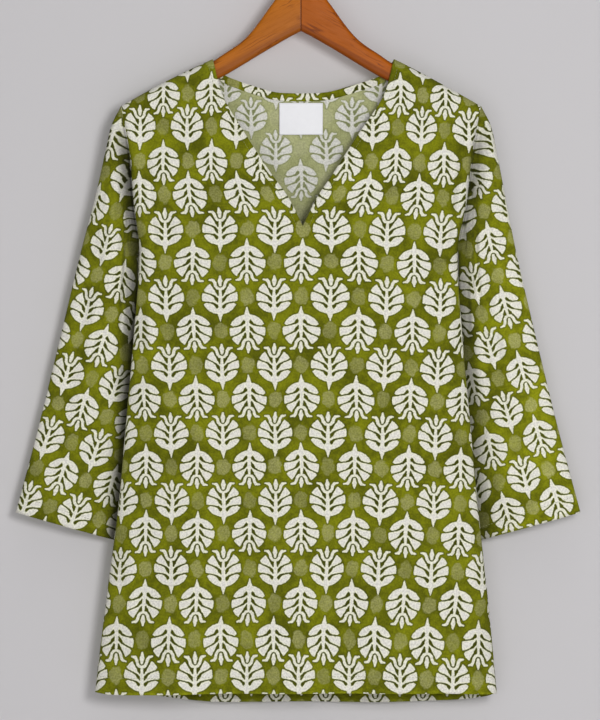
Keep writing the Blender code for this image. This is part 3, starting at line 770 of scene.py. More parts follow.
def halfOutline(panel):
    underarmZ, (endX, endZ) = garment["underarmZ"], garment["shoulderEnd"]
    neckX = garment["neckPoint"][0]

    def bottom(s):
        return s * halfWidthAt(yokeZ(s)), yokeZ(s)

    def outer(s):
        z = mix(underarmZ, endZ, s)
        return halfWidthAt(z), z

    def shoulder(s):
        x = mix(neckX, endX, s)
        return x, ridgeZ(x)

    if panel == "front":
        return bottom, shoulder, neckAt[panel], outer
    neckShare = math.sin(math.pi / 4)

    def top(s):
        if s <= neckShare:
            step = math.asin(s) / math.asin(neckShare)
            return neckAt[panel](1 - (1 - step)**garment["neckCrowding"])
        return shoulder((math.asin(min(s, 1.0)) - math.pi / 4) / (math.pi / 4))

    return bottom, top, lambda s: (0.0, mix(garment["vPointZ"], garment["neck"][panel][0][1], s)), outer


def coons(edges, s, t):
    bottom, top, inner, outer = edges
    point = []
    for k in (0, 1):
        up = mix(bottom(s)[k], top(s)[k], t)
        across = mix(inner(t)[k], outer(t)[k], s)
        corners = mix(mix(bottom(0)[k], bottom(1)[k], s), mix(top(0)[k], top(1)[k], s), t)
        point.append(up + across - corners)
    return point


# how much longer the cloth is than the flat width, where it turns round the sides
turnSteps = 200
turnDepth = 0.13               # depth of the body beside its half width
turnExtra = [0.0]
for step in range(turnSteps):
    a, b = step / turnSteps, (step + 1) / turnSteps
    r = garment["roundness"]
    drop = ((1 - a**r)**(1 / r) - max(1 - b**r, 0.0)**(1 / r)) * turnDepth
    turnExtra.append(turnExtra[-1] + math.hypot(b - a, drop) - (b - a))


def panelFlat(panel, u, z):
    width = halfWidthAt(z)
    x = abs(u) * width + width * turnExtra[int(round(min(abs(u), 1.0) * turnSteps))]
    if panel == "front" and z > garment["vPointZ"]:
        share, endX, over = garment["printSpread"]
        x -= smoothStep((z - garment["vPointZ"]) / over) * share * max(endX - x, 0.0)
    overTop = max(1 - max(ridgeZ(u * width) - z, 0.0) / garment["capDrop"], 0.0)
    flatX, flatZ = math.copysign(x, u), z + garment["printOverTop"] * overTop**2
    if panel == "back":
        return (flatX, flatZ)
    driftSide, pace = garment["driftSide"]
    outward = abs(u) * width / driftSide
    stray = driftAt[-1](z) * outward if u < 0 else driftAt[1](z) * math.sin(
        math.pi / 2 * min(outward * pace, 1.0))
    sag, sagStart, sagOver = garment["printSag"]
    lift, liftMiddle, liftOver = garment["printLift"]
    step, stepStart, stepOver = garment["printStep"]
    down = (sag * smoothStep((sagStart - z) / sagOver) - lift * bell(z, liftMiddle, liftOver)
            + garment["printFall"][-1 if u < 0 else 1] * outward**garment["fallPower"])
    return (flatX + stray + step * smoothStep((stepStart - z) / stepOver), flatZ + down)


def selectOnly(piece):
    bpy.ops.object.select_all(action="DESELECT")
    piece.select_set(True)
    bpy.context.view_layer.objects.active = piece


def applyModifiers(piece):
    selectOnly(piece)
    for modifier in list(piece.modifiers):
        bpy.ops.object.modifier_apply(modifier=modifier.name)
    piece.select_set(False)


def finishMesh(name, mesh, *materials):
    data = bpy.data.meshes.new(name)
    mesh.to_mesh(data)
    mesh.free()
    for material in materials:
        data.materials.append(material)
    return addToScene(name, data)


def thicken(piece, wall):
    modifier = piece.modifiers.new("wall", "SOLIDIFY")
    modifier.thickness = wall
    modifier.offset = -1
    return modifier


def buildSheet(name, grids, inside, materials, thickAt, turnedUp):
    # grids are lists of rows, each of (point, flat place, painted shade); shared points are merged
    mesh = bmesh.new()
    flatLayer = mesh.loops.layers.uv.new("cloth")
    weights = mesh.verts.layers.deform.new()
    # each point's painted shade, or painted light below 0
    shades = mesh.verts.layers.float.new("paintedShade")
    known = {}

    def vertexAt(point, paintedShade):
        key = tuple(round(c, 6) for c in point)
        if key not in known:
            known[key] = mesh.verts.new(point)
            known[key][weights][0] = thickAt(point)
            known[key][shades] = paintedShade
        return known[key]

    for rows in grids:
        for low, high in zip(rows, rows[1:]):
            for k in range(len(low) - 1):
                corners = [low[k], low[k + 1], high[k + 1], high[k]]
                verts = [vertexAt(point, paintedShade) for point, place, paintedShade in corners]
                if len(set(verts)) < 3:
                    continue
                kept = [(v, c[1]) for i, (v, c) in enumerate(zip(verts, corners)) if v not in verts[:i]]
                face = mesh.faces.new([v for v, place in kept])
                face.smooth = True
                for loop, (v, place) in zip(face.loops, kept):
                    loop[flatLayer].uv = place
    bmesh.ops.recalc_face_normals(mesh, faces=mesh.faces)
    mesh.normal_update()
    if sum(f.normal.dot(f.calc_center_median() - inside) * f.calc_area() for f in mesh.faces) < 0:
        bmesh.ops.reverse_faces(mesh, faces=mesh.faces)
    piece = finishMesh(name, mesh, *materials)
    piece.vertex_groups.new(name="thickness")
    wall = thicken(piece, garment["hemWall"])
    wall.vertex_group = "thickness"
    wall.thickness_vertex_group = 0.0
    wall.material_offset = 1
    wall.material_offset_rim = 0
    applyModifiers(piece)
    for face in piece.data.polygons:       # a hem turned up inside shows the cloth's right side
        if face.material_index == 1 and turnedUp(face.center):
            face.material_index = 0
    return piece


def thicknessNear(distance, depth):
    thin = garment["wall"] / garment["hemWall"]
    return mix(1.0, thin, smoothStep((distance - depth) / garment["wallStep"]))


def hemUp(panel, point):
    # height above the panel's hem
    return point[2] - hemAt[panel](min(max(point[0] / halfWidthAt(point[2]), -1.0), 1.0))


def panelThickness(panel):
    steps = garment["neckSteps"]
    neck = [neckAt[panel](k / steps) for k in range(steps + 1)]
    nearX, below = garment["neckReach"]

    def thickAt(point):
        x, z = abs(point[0]), point[2]
        weight = thicknessNear(hemUp(panel, point), garment["hemDepth"])
        if z > garment["vPointZ"] - below and x < nearX:
            toNeck = min(math.hypot(x - nx, z - nz) for nx, nz in neck)
            weight = max(weight, thicknessNear(toNeck, garment["neckTurn"]))
        return weight
    return thickAt


def panelPaintedShading(panel, u, z):
    # painted shade in the fold beside the sleeve, from 0 to 1, less the painted highlight along the
    # front hem
    strength, spread, under, over, topOver = garment["seamShade"]
    fromSeam = (1 - abs(u)) * halfWidthAt(z)
    beside = (smoothStep((z - garment["underarmZ"] + under) / over)
              * smoothStep((ridgeZ(garment["shadeTopX"]) - z) / topOver))
    # a painted highlight along the front hem's edge
    light, up, fade = garment["hemPaintedHighlight"]
    edge = smoothStep((hemAt[panel](u) - z + up) / fade) if panel == "front" else 0.0
    return strength * beside * bell(fromSeam, 0, spread) - light * edge


def buildPanel(panel, name, materials):
    columns, rows, yokeRows = garment["halfColumns"], garment["rows"], garment["yokeRows"]

    def cornerAt(u, z):
        return panelPoint(panel, u, z), panelFlat(panel, u, z), panelPaintedShading(panel, u, z)

    across = [math.sin(math.pi / 2 * c / columns) for c in range(-columns, columns + 1)]
    grids = [[[cornerAt(u, mix(yokeZ(u), hemAt[panel](u), r / rows)) for u in across]
              for r in range(rows + 1)]]
    edges = halfOutline(panel)
    for side in (-1, 1):
        grid = []
        for r in range(yokeRows + 1):
            spots = [coons(edges, s, crowded(r, yokeRows)) for s in across[columns:]]
            grid.append([cornerAt(side * min(x / halfWidthAt(z), 1.0), z) for x, z in spots])
        grids.append(grid)
    return buildSheet(name, grids, Vector(garment["inside"]), materials, panelThickness(panel),
                      lambda point: hemUp(panel, point) < garment["hemDepth"])


# sleeves

sleeve = {
    "sections": [              # along, outer x, z, y, beyond side, inner z, y, half depth
        (0.00, 0.2148, -0.2244, 0.000, 0.0003, -0.3980, 0.000, 0.0150),
        (0.06, 0.2262, -0.2470, 0.000, 0.0012, -0.4120, 0.005, 0.0155),
        (0.13, 0.2330, -0.2750, 0.001, 0.0004, -0.4360, 0.011, 0.0170),
        (0.25, 0.2470, -0.3400, 0.005, -0.0030, -0.4820, 0.023, 0.0180),
        (0.40, 0.2660, -0.4210, 0.009, -0.0030, -0.5380, 0.029, 0.0170),
        (0.60, 0.2920, -0.5300, 0.012, -0.0040, -0.6100, 0.032, 0.0160),
        (0.80, 0.3142, -0.6200, 0.013, -0.0040, -0.6780, 0.032, 0.0150),
        (1.00, 0.3384, -0.7104, 0.012, -0.0030, -0.7452, 0.030, 0.0145),
    ],
    "blend": 0.22,
    "folds": {                 # start, end, place at start and end, width, height
        "front": [
            (0.01, 0.62, 0.30, 0.18, 0.065, 0.0062), (0.01, 0.52, 0.46, 0.32, 0.060, -0.0060),
            (0.04, 0.80, 0.66, 0.56, 0.080, 0.0046), (0.12, 0.90, 0.84, 0.76, 0.070, -0.0034),
            (0.50, 1.10, 0.35, 0.45, 0.100, 0.0036),
        ],
        "back": [
            (0.02, 0.55, 0.36, 0.24, 0.090, 0.0045), (0.03, 0.60, 0.60, 0.46, 0.080, -0.0040),
            (0.50, 1.10, 0.60, 0.50, 0.120, 0.0030),
        ],
    },
    "creases": {               # from along, place to along, place, half width, height
        "front": [
            (0.03, 0.20, 0.24, 0.34, 0.030, 0.0028), (0.05, 0.34, 0.34, 0.16, 0.034, -0.0030),
            (0.16, 0.52, 0.52, 0.26, 0.040, 0.0024), (0.32, 0.66, 0.60, 0.44, 0.045, -0.0020),
            (0.05, 0.72, 0.26, 0.58, 0.036, -0.0022), (0.10, 0.86, 0.40, 0.76, 0.040, 0.0018),
            (0.60, 0.24, 0.98, 0.30, 0.045, 0.0016), (0.66, 0.64, 1.02, 0.70, 0.055, 0.0014),
        ],
        "back": [
            (0.03, 0.24, 0.24, 0.38, 0.035, 0.0022), (0.06, 0.40, 0.34, 0.20, 0.040, -0.0020),
            (0.20, 0.58, 0.55, 0.34, 0.045, 0.0018), (0.62, 0.44, 1.00, 0.52, 0.050, 0.0013),
        ],
    },
    "rings": 120,
    "ringCrowding": 1.25,
    "aroundHalf": 54,
    "inside": (0.262, 0.012, -0.5),
    "armholeValley": 0.0066,
    "valleyAlong": 0.016,
    "cuffDepth": 0.024,
    "cuffReach": 0.2,
    "backShare": 0.5,                    # of the shade and the valley, on the back
    "shadeTop": (0.012, 0.05),           # how far below the shoulder, over what
    "shadeDepth": {-1: 1.0, 1: 0.70},    # of the painted shade in the fold beside the body, on each side
    "shadeSpread": {-1: 0.0140, 1: 0.0165},
    "outerPaintedLight": {-1: 0.0, 1: 0.34},    # painted light: how much paler the cloth is painted away from the body
    "outerFrom": (0.012, 0.040),         # from where, over what
    "printStretch": {-1: (1.070, 0.38), 1: (1.060, 0.25)},    # and the distance down that stays in place
    "printSlip": {-1: (0.018, 0.44, 0.28), 1: (0.005, 0.30, 0.22)},   # inward, down to where, over what
    "slipRange": (-0.5, 1.3),
}
sleeveAt = [None] + [columnCurve(sleeve["sections"], k) for k in range(1, 8)]


def sleeveFold(face, along, place):
    total = 0.0
    for start, end, placeStart, placeEnd, width, height in sleeve["folds"][face]:
        if start < along < end:
            run = (along - start) / (end - start)
            middle = mix(placeStart, placeEnd, run)
            total += height * math.sin(math.pi * run) * bell(place, middle, width)
    return total


def armholePoint(side, face, place):
    z = mix(garment["underarmZ"], garment["shoulderEnd"][1], place)
    point = panelPoint(face, side, z, fine=False)
    point.x += side * garment["seamGap"]
    if place in (0.0, 1.0):
        point.y = 0.0
    return point


def tubePoint(side, face, along, place):
    outerX, outerZ, outerY, beyond, innerZ, innerY, halfDepth = [f(along) for f in sleeveAt[1:]]
    innerX = halfWidthAt(innerZ) + beyond
    x = mix(innerX, outerX, place)
    z = mix(innerZ, outerZ, place)
    bulge = halfDepth * math.sqrt(max(1 - (2 * place - 1)**2, 0.0))
    calm = min(bulge / halfDepth, 1.0)
    bulge += sleeveFold(face, along, place) * calm
    bulge += creaseSum(sleeve["creases"][face], along, place) * calm
    bulge += crumpleAt(1.7 * along + 0.3 * side, 0.5 * place + (0.2 if face == "back" else 0)) * calm
    y = mix(innerY, outerY, place)
    return Vector((side * x + shiftAt(z), y + (-bulge if face == "front" else bulge), z))


def sleevePoint(side, face, along, place):
    share = 1 - smoothStep(along / sleeve["blend"])
    start = armholePoint(side, face, place) - tubePoint(side, face, 0.0, place)
    point = tubePoint(side, face, along, place) + start * share
    run = along / sleeve["valleyAlong"]
    dip = sleeve["armholeValley"] * run * math.exp(1 - run)
    dip *= math.sin(math.pi * place)**0.5 if 0 < place < 1 else 0
    point.y += dip if face == "front" else -sleeve["backShare"] * dip
    return point


def sleeveFlat(side, face, along, place):
    outerX, outerZ = sleeveAt[1](along), sleeveAt[2](along)
    innerZ = sleeveAt[5](along)
    innerX = halfWidthAt(innerZ) + sleeveAt[4](along)
    x, z = mix(innerX, outerX, place), mix(innerZ, outerZ, place)
    (topX, topZ), (endX, endZ) = sleeve["sections"][0][1:3], sleeve["sections"][-1][1:3]
    length = math.hypot(endX - topX, endZ - topZ)
    downX, downZ = (endX - topX) / length, (endZ - topZ) / length
    inward = (x - topX) * downZ - (z - topZ) * downX
    atEdge = (outerX - topX) * downZ - (outerZ - topZ) * downX
    down = (x - topX) * downX + (z - topZ) * downZ
    across = inward - atEdge
    if face == "back":
        across = -across
    stretch, middle = sleeve["printStretch"][side]
    slip, slipEnd, slipOver = sleeve["printSlip"][side]
    least, most = sleeve["slipRange"]
    across -= slip * min(max((slipEnd - down) / slipOver, least), most)
    return (-side * across, -middle - (down - middle) / stretch)


def sleevePaintedShading(side, face, point):
    share = 1.0 if face == "front" else sleeve["backShare"]
    fromBody = max(side * (point.x - shiftAt(point.z)) - halfWidthAt(point.z), 0.0)
    below, over = sleeve["shadeTop"]
    belowTop = smoothStep((garment["shoulderEnd"][1] - below - point.z) / over)
    # painted shade in the fold beside the body
    shade = share * sleeve["shadeDepth"][side] * belowTop * math.exp(
        -(fromBody / sleeve["shadeSpread"][side])**3)
    # painted light on the sleeve away from the body
    start, run = sleeve["outerFrom"]
    return shade - share * sleeve["outerPaintedLight"][side] * smoothStep((fromBody - start) / run)


def buildSleeve(side, name, materials):
    steps, rings = sleeve["aroundHalf"], sleeve["rings"]
    around = [("front", crowded(k, steps)) for k in range(steps + 1)]
    around += [("back", 1 - crowded(k, steps)) for k in range(1, steps + 1)]
    rows = []
    for r in range(rings + 1):
        along = (r / rings)**sleeve["ringCrowding"]
        row = []
        for face, place in around:
            point = sleevePoint(side, face, along, place)
            row.append((point, sleeveFlat(side, face, along, place), sleevePaintedShading(side, face, point)))
        rows.append(row)
    middleX, middleY, middleZ = sleeve["inside"]
    cuffA, cuffB = Vector(rows[-1][0][0]), Vector(rows[-1][steps][0])
    edge = (cuffB - cuffA).normalized()

    def fromCuff(point):
        off = Vector(point) - cuffA
        return off.cross(edge).length if off.length < sleeve["cuffReach"] else 1.0

    return buildSheet(name, [rows], Vector((side * middleX, middleY, middleZ)), materials,
                      lambda point: thicknessNear(fromCuff(point), sleeve["cuffDepth"]),
                      lambda point: fromCuff(point) < sleeve["cuffDepth"])


# neck facing and label

facing = {
    "width": 0.0096, "endX": 0.099, "wall": 0.0007, "segments": 90, "steps": 6,
    "gap": 0.0001,            # to the turned edge of the back panel
    "outwardShare": 0.6,
}
labelForm = {
    "size": (0.052, 0.038), "topZ": -0.2200, "wall": 0.0005, "steps": (32, 24),
    "gap": 0.0004,
    "lift": 0.0016,           # of its lower edge
    "bow": 0.35,              # how much more its middle stands off
    "colours": ((0.80, 0.80, 0.82), (0.88, 0.88, 0.90)),
    "cloudy": (90.0, 3.0, 0.6),              # noise scale, detail and roughness
    "roughness": (0.2, 0.8, 0.5, 0.62),      # the noise's range, and the cloth's
    "sheen": 0.1,
    "threads": 2600.0,
    "relief": (0.3, 0.0001),
}


def panelNormal(panel, u, z):
    step = 0.002
    across = panelPoint(panel, u + step, z) - panelPoint(panel, u - step, z)
    up = panelPoint(panel, u, z + step) - panelPoint(panel, u, z - step)
    normal = across.cross(up).normalized()
    return normal if panel == "front" else -normal


def insideBack(x, z, clear):
    u = x / halfWidthAt(z)
    return panelPoint("back", u, z) - panelNormal("back", u, z) * clear


def layOnBack(name, spots, wall, material):
    # spots are rows of x, z, clearance and flat place, seen from the front
    mesh = bmesh.new()
    flatLayer = mesh.loops.layers.uv.new("cloth")
    grid = [[mesh.verts.new(insideBack(x, z, clear)) for x, z, clear, place in row] for row in spots]
    for r in range(len(grid) - 1):
        for c in range(len(grid[0]) - 1):
            corners = [(r, c), (r + 1, c), (r + 1, c + 1), (r, c + 1)]
            face = mesh.faces.new([grid[i][j] for i, j in corners])
            face.smooth = True
            for loop, (i, j) in zip(face.loops, corners):
                loop[flatLayer].uv = spots[i][j][3]
    mesh.normal_update()
    if sum(f.normal.y for f in mesh.faces) > 0:
        bmesh.ops.reverse_faces(mesh, faces=mesh.faces)
    piece = finishMesh(name, mesh, material)
    thicken(piece, wall)
    applyModifiers(piece)
    return piece


def awayFromNeck(panel, share, step=0.01):
    # the direction across the cloth, away from the neck's edge
    nextX, nextZ = neckAt[panel](min(share + step, 1.0))
    lastX, lastZ = neckAt[panel](max(share - step, 0.0))
    run, rise = nextX - lastX, nextZ - lastZ
    size = math.hypot(run, rise)
    return rise / size, -run / size


def buildFacing(material):
    shareEnd = 1.0
    while neckAt["back"](shareEnd)[0] > facing["endX"]:
        shareEnd -= 0.002
    clear = garment["hemWall"] + facing["wall"] + facing["gap"]
    segments, steps = facing["segments"], facing["steps"]
    rows = []
    for k in range(-segments, segments + 1):
        share = shareEnd * abs(k) / segments
        x, z = neckAt["back"](share)
        downX, downZ = awayFromNeck("back", share) if k else (0.0, -1.0)
        row = []
        for r in range(steps + 1):
            off = facing["width"] * r / steps
            spot = (math.copysign(1, k) * (x + downX * off * facing["outwardShare"]), z + downZ * off)
            row.append((*spot, clear, spot))
        rows.append(row)
    return layOnBack("neckFacing", rows, facing["wall"], material)


def buildLabel(material):
    (width, height), (columns, lines) = labelForm["size"], labelForm["steps"]
    rows = []
    for r in range(lines + 1):
        down = r / lines
        row = []
        for c in range(columns + 1):
            across = c / columns - 0.5
            lift = labelForm["lift"] * down**2 * (1 + labelForm["bow"] * math.cos(2 * math.pi * across))
            clear = garment["hemWall"] + facing["wall"] + labelForm["wall"] + labelForm["gap"] + lift
            row.append((width * across, labelForm["topZ"] - height * down, clear,
                        (width * across, -height * down)))
        rows.append(row)
    return layOnBack("sewnLabel", rows, labelForm["wall"], material)


def makeLabelCloth(weaveGroup):
    material, tree, inputs = newMaterial("labelTape", {"Sheen Weight": labelForm["sheen"]})
    flat = clothPlace(tree)
    cloudy = noise(flat, *labelForm["cloudy"])
    plug(blendColour(cloudy, *labelForm["colours"]), inputs["Base Color"])
    plug(reach(cloudy, *labelForm["roughness"]), inputs["Roughness"])
    fine = useGroup(weaveGroup, {"Cloth": flat, "Threads": labelForm["threads"]})["Height"]
    plug(bump(fine, *labelForm["relief"]).outputs[0], inputs["Normal"])
    return material


# stitching

stitching = {
    "length": 0.0026, "pitch": 0.0036, "radius": 0.00021, "stand": 0.00008, "sides": 6,
    "profile": [               # along, size, lift
        (-1.0, 0.3, -0.4), (-0.6, 0.9, 0.2), (0.6, 0.9, 0.2), (1.0, 0.3, -0.4),
    ],
    "hemUp": 0.020, "hemEnd": 0.985, "neckIn": 0.0065, "neckFrom": 0.02, "neckRun": 0.93,
    "cuffUp": 0.022, "sleeveLength": 0.5, "steps": {"hem": 110, "neck": 60, "cuff": 60},
    "colours": ((0.20, 0.22, 0.07), (0.34, 0.36, 0.16)), "twist": 900.0, "roughness": 0.7,
}


def evenly(points, pitch):
    # places and directions at an even pitch along a line of points
    spots, travelled, wanted = [], 0.0, pitch / 2
    for (a, aOut), (b, bOut) in zip(points, points[1:]):
        run = (b - a).length
        while run > 0 and wanted <= travelled + run:
            t = (wanted - travelled) / run
            spots.append((a.lerp(b, t), (b - a).normalized(), aOut.lerp(bOut, t).normalized()))
            wanted += pitch
        travelled += run
    return spots


def addStitches(mesh, line):
    radius, half, sides = stitching["radius"], stitching["length"] / 2, stitching["sides"]
    for middle, along, out in evenly(line, stitching["pitch"]):
        across = along.cross(out).normalized()
        rings = []
        for far, size, lift in stitching["profile"]:
            centre = middle + along * (half * far) + out * (stitching["stand"] + lift * radius)
            turns = [2 * math.pi * k / sides for k in range(sides)]
            rings.append([mesh.verts.new(centre + (across * math.cos(turn) + out * math.sin(turn))
                                         * radius * size) for turn in turns])
        for low, high in zip(rings, rings[1:]):
            for k in range(sides):
                mesh.faces.new((low[k], low[(k + 1) % sides], high[(k + 1) % sides], high[k]))
        mesh.faces.new(rings[0][::-1])
        mesh.faces.new(rings[-1])


def panelLine(panel, spots):
    # spots are u, z along the line
    return [(panelPoint(panel, u, z), panelNormal(panel, u, z)) for u, z in spots]


def stitchObject(name, lines, material):
    mesh = bmesh.new()
    for line in lines:
        addStitches(mesh, line)
    bmesh.ops.recalc_face_normals(mesh, faces=mesh.faces)
    return finishMesh(name, mesh, material)


def hemLine(panel):
    steps = stitching["steps"]["hem"]
    across = [stitching["hemEnd"] * k / steps for k in range(-steps, steps + 1)]
    return panelLine(panel, [(u, hemAt[panel](u) + stitching["hemUp"]) for u in across])


def neckLine(panel, side):
    spots = []
    steps = stitching["steps"]["neck"]
    for k in range(steps + 1):
        share = stitching["neckFrom"] + stitching["neckRun"] * k / steps
        (x, z), (outX, outZ) = neckAt[panel](share), awayFromNeck(panel, share)
        x, z = x + outX * stitching["neckIn"], z + outZ * stitching["neckIn"]
        spots.append((side * x / halfWidthAt(z), z))
    return panelLine(panel, spots)


def sleeveLines(side):
    lines = []
    along = 1 - stitching["cuffUp"] / stitching["sleeveLength"]
    steps = stitching["steps"]["cuff"]
    for face in ("front", "back"):
        line = []
        for k in range(2, steps - 1):
            place = k / steps
            here = sleevePoint(side, face, along, place)
            downhill = sleevePoint(side, face, along + 0.01, place) - here
            sideways = sleevePoint(side, face, along, place + 0.01) - here
            out = downhill.cross(sideways).normalized()
            if (out.y > 0) == (face == "front"):
                out = -out
            line.append((here, out))
        lines.append(line)
    return lines


# hanger

hanger = {
    "outline": [               # x, top, bottom
        (0.0000, -0.0720, -0.1350), (0.0112, -0.0748, -0.1407), (0.0207, -0.0832, -0.1460),
        (0.0300, -0.0960, -0.1515), (0.0410, -0.1112, -0.1579), (0.0512, -0.1256, -0.1640),
        (0.0630, -0.1400, -0.1713), (0.0750, -0.1508, -0.1785), (0.0920, -0.1620, -0.1884),
        (0.1065, -0.1720, -0.1958), (0.1200, -0.1788, -0.2018), (0.1500, -0.1930, -0.2150),
        (0.1900, -0.2140, -0.2312), (0.2124, -0.2256, -0.2398),
    ],
    "thickness": 0.012,
    "drawZ": -0.1,
    "edgeRound": 0.0052,
    "edgeSegments": 5,
    "sharpAngle": 40,
    "smoothAngle": 35,
    "seamX": 0.00003,
    "seamGroove": 0.0006,
    "overlap": 0.008,          # drawn past the middle, then cut flat there
    "steps": 46,
    "woodLight": {-1: (0.470, 0.140, 0.008), 1: (0.425, 0.100, 0.002)},
    "woodDark": (0.140, 0.026, 0.002),
    "lightToDark": 0.22,
    "marks": {"Veins": 0.75, "Pores": 0.18},     # how dark they are
    "lowerEdgeShade": {-1: 0.34, 1: 0.60},    # painted shade: how dark the downward-facing lower edge is
    "edgeTilt": (-0.06, -0.40),
    # painted shade on the top edge: how dark
    "topEdgeShade": 0.55,
    "topTilt": (0.35, 0.85),
    "lowerBandShade": {-1: (0.48, 0.0060, 0.0150), 1: (0.55, 0.0072, 0.0104)},   # painted shade in a band along the lower edge: how dark, up to where in full, and where it ends above
    "lowerLine": (-0.1345, -0.575),      # the lower edge's height in the middle, and its slope
    "raggedShadeEdge": 0.010,
    "seamColour": (0.150, 0.036, 0.008),
    "seamShade": (0.0012, 0.0005, 0.8),  # from how far beside the seam, to where, strength
    "grainSlope": 27.0,
    "grainStart": {-1: (0.0, 0, 0.02), 1: (0.3, 0, 0.11)},
    "grainStretch": (9.0, 70.0),
    "cloud": (0.55, 3.0, 0.55),          # noise scale, detail and roughness
    "cloudRange": (0.3, 0.75),
    "grainBend": (22.0, 0.008),          # noise scale, how far
    "veinStretch": (0.6, 2.2),           # beside the grain's
    "veinWidth": (0.030, 0.004),
    "veinPatches": (30.0, 0.45, 0.62),   # noise scale and range
    "poreStretch": (60.0, 900.0),
    "poreRange": (0.45, 0.7),
    "roughness": 0.46,
    "poreRoughness": 0.12,
    "specular": 0.11,
    "coat": 0.04,
    "coatRoughness": 0.22,
    "relief": (0.25, 0.0002),            # of the pores: strength and height
}


def extrude(x, y, z):
    bpy.ops.mesh.extrude_region_move(TRANSFORM_OT_translate={"value": (x, y, z)})


def buildArm(side, name, material):
    topAt, bottomAt = columnCurve(hanger["outline"], 1), columnCurve(hanger["outline"], 2)
    startX, endX = -hanger["overlap"], hanger["outline"][-1][0]
    stations = [mix(startX, endX, k / hanger["steps"]) for k in range(hanger["steps"] + 1)]
    bpy.ops.object.select_all(action="DESELECT")
    half = hanger["thickness"] / 2
    bpy.ops.mesh.primitive_plane_add(size=1, location=(side * stations[0], half, hanger["drawZ"]))
    arm = bpy.context.object
    arm.name = name
    bpy.ops.object.mode_set(mode="EDIT")
    bpy.ops.mesh.select_mode(type="VERT")
    bpy.ops.mesh.select_all(action="SELECT")
    bpy.ops.mesh.merge(type="CENTER")               # one corner to draw the outline from
    top, bottom = topAt(stations[0]), bottomAt(stations[0])
    bpy.ops.transform.translate(value=(0, 0, top - hanger["drawZ"]))
    extrude(0, 0, bottom - top)
    mesh = bmesh.from_edit_mesh(arm.data)
    for vert in mesh.verts:
        vert.select_set(True)
    mesh.select_flush(True)
    bmesh.update_edit_mesh(arm.data)
    bpy.ops.mesh.select_mode(type="EDGE")
    for before, x in zip(stations, stations[1:]):
        oldTop, oldBottom, top, bottom = topAt(before), bottomAt(before), topAt(x), bottomAt(x)
        extrude(side * (x - before), 0, ((top + bottom) - (oldTop + oldBottom)) / 2)
        bpy.ops.transform.resize(value=(1, 1, (top - bottom) / (oldTop - oldBottom)),
                                 center_override=(side * x, half, (top + bottom) / 2))
    bpy.ops.mesh.select_all(action="SELECT")
    extrude(0, -hanger["thickness"], 0)
    bpy.ops.mesh.select_all(action="SELECT")
    bpy.ops.mesh.normals_make_consistent(inside=False)
    bpy.ops.object.mode_set(mode="OBJECT")
    bpy.ops.object.transform_apply(location=True, rotation=True, scale=True)
    rounding = arm.modifiers.new("roundEdges", "BEVEL")
    rounding.width = hanger["edgeRound"]
    rounding.segments = hanger["edgeSegments"]
    rounding.limit_method = "ANGLE"
    rounding.angle_limit = math.radians(hanger["sharpAngle"])
    rounding.use_clamp_overlap = True
    applyModifiers(arm)
    selectOnly(arm)
    bpy.ops.object.mode_set(mode="EDIT")
    bpy.ops.mesh.select_all(action="SELECT")
    bpy.ops.mesh.bisect(plane_co=(side * hanger["seamX"], 0, 0), plane_no=(side, 0, 0),
                        use_fill=True, clear_inner=True)
    bpy.ops.mesh.bevel(offset=hanger["seamGroove"], segments=2, affect="EDGES")
    bpy.ops.object.mode_set(mode="OBJECT")
    bpy.ops.object.shade_smooth_by_angle(angle=math.radians(hanger["smoothAngle"]))
    arm.select_set(False)
    arm.data.materials.clear()
    arm.data.materials.append(material)
    return arm


def makeGrainGroup():
    tree, given, made = newGroup("woodGrain", [("Place", "Vector", None)], ["Grain", "Veins", "Pores"])
    place = given["Place"]
    along, across = hanger["grainStretch"]
    stretched = doVector("MULTIPLY", place, (along, across, across))
    plug(noise(stretched, *hanger["cloud"]), made["Grain"])
    scale, far = hanger["grainBend"]
    bend = doVector("SCALE", noise(place, scale, output="Color"), scale=far)
    long, wide = hanger["veinStretch"]
    bent = doVector("MULTIPLY", doVector("ADD", place, bend),
                    (along * long, across * wide, across * wide))
    ridge = doMath("ABSOLUTE", minus(noise(bent, 1.0), 0.5))
    scale, *limits = hanger["veinPatches"]
    patches = reach(noise(place, scale, 1.0), *limits)
    plug(times(reach(ridge, *hanger["veinWidth"]), patches), made["Veins"])
    long, wide = hanger["poreStretch"]
    fine = noise(doVector("MULTIPLY", place, (long, wide, wide)), 1.0, 3.0, 0.6)
    plug(reach(fine, *hanger["poreRange"]), made["Pores"])
    return tree


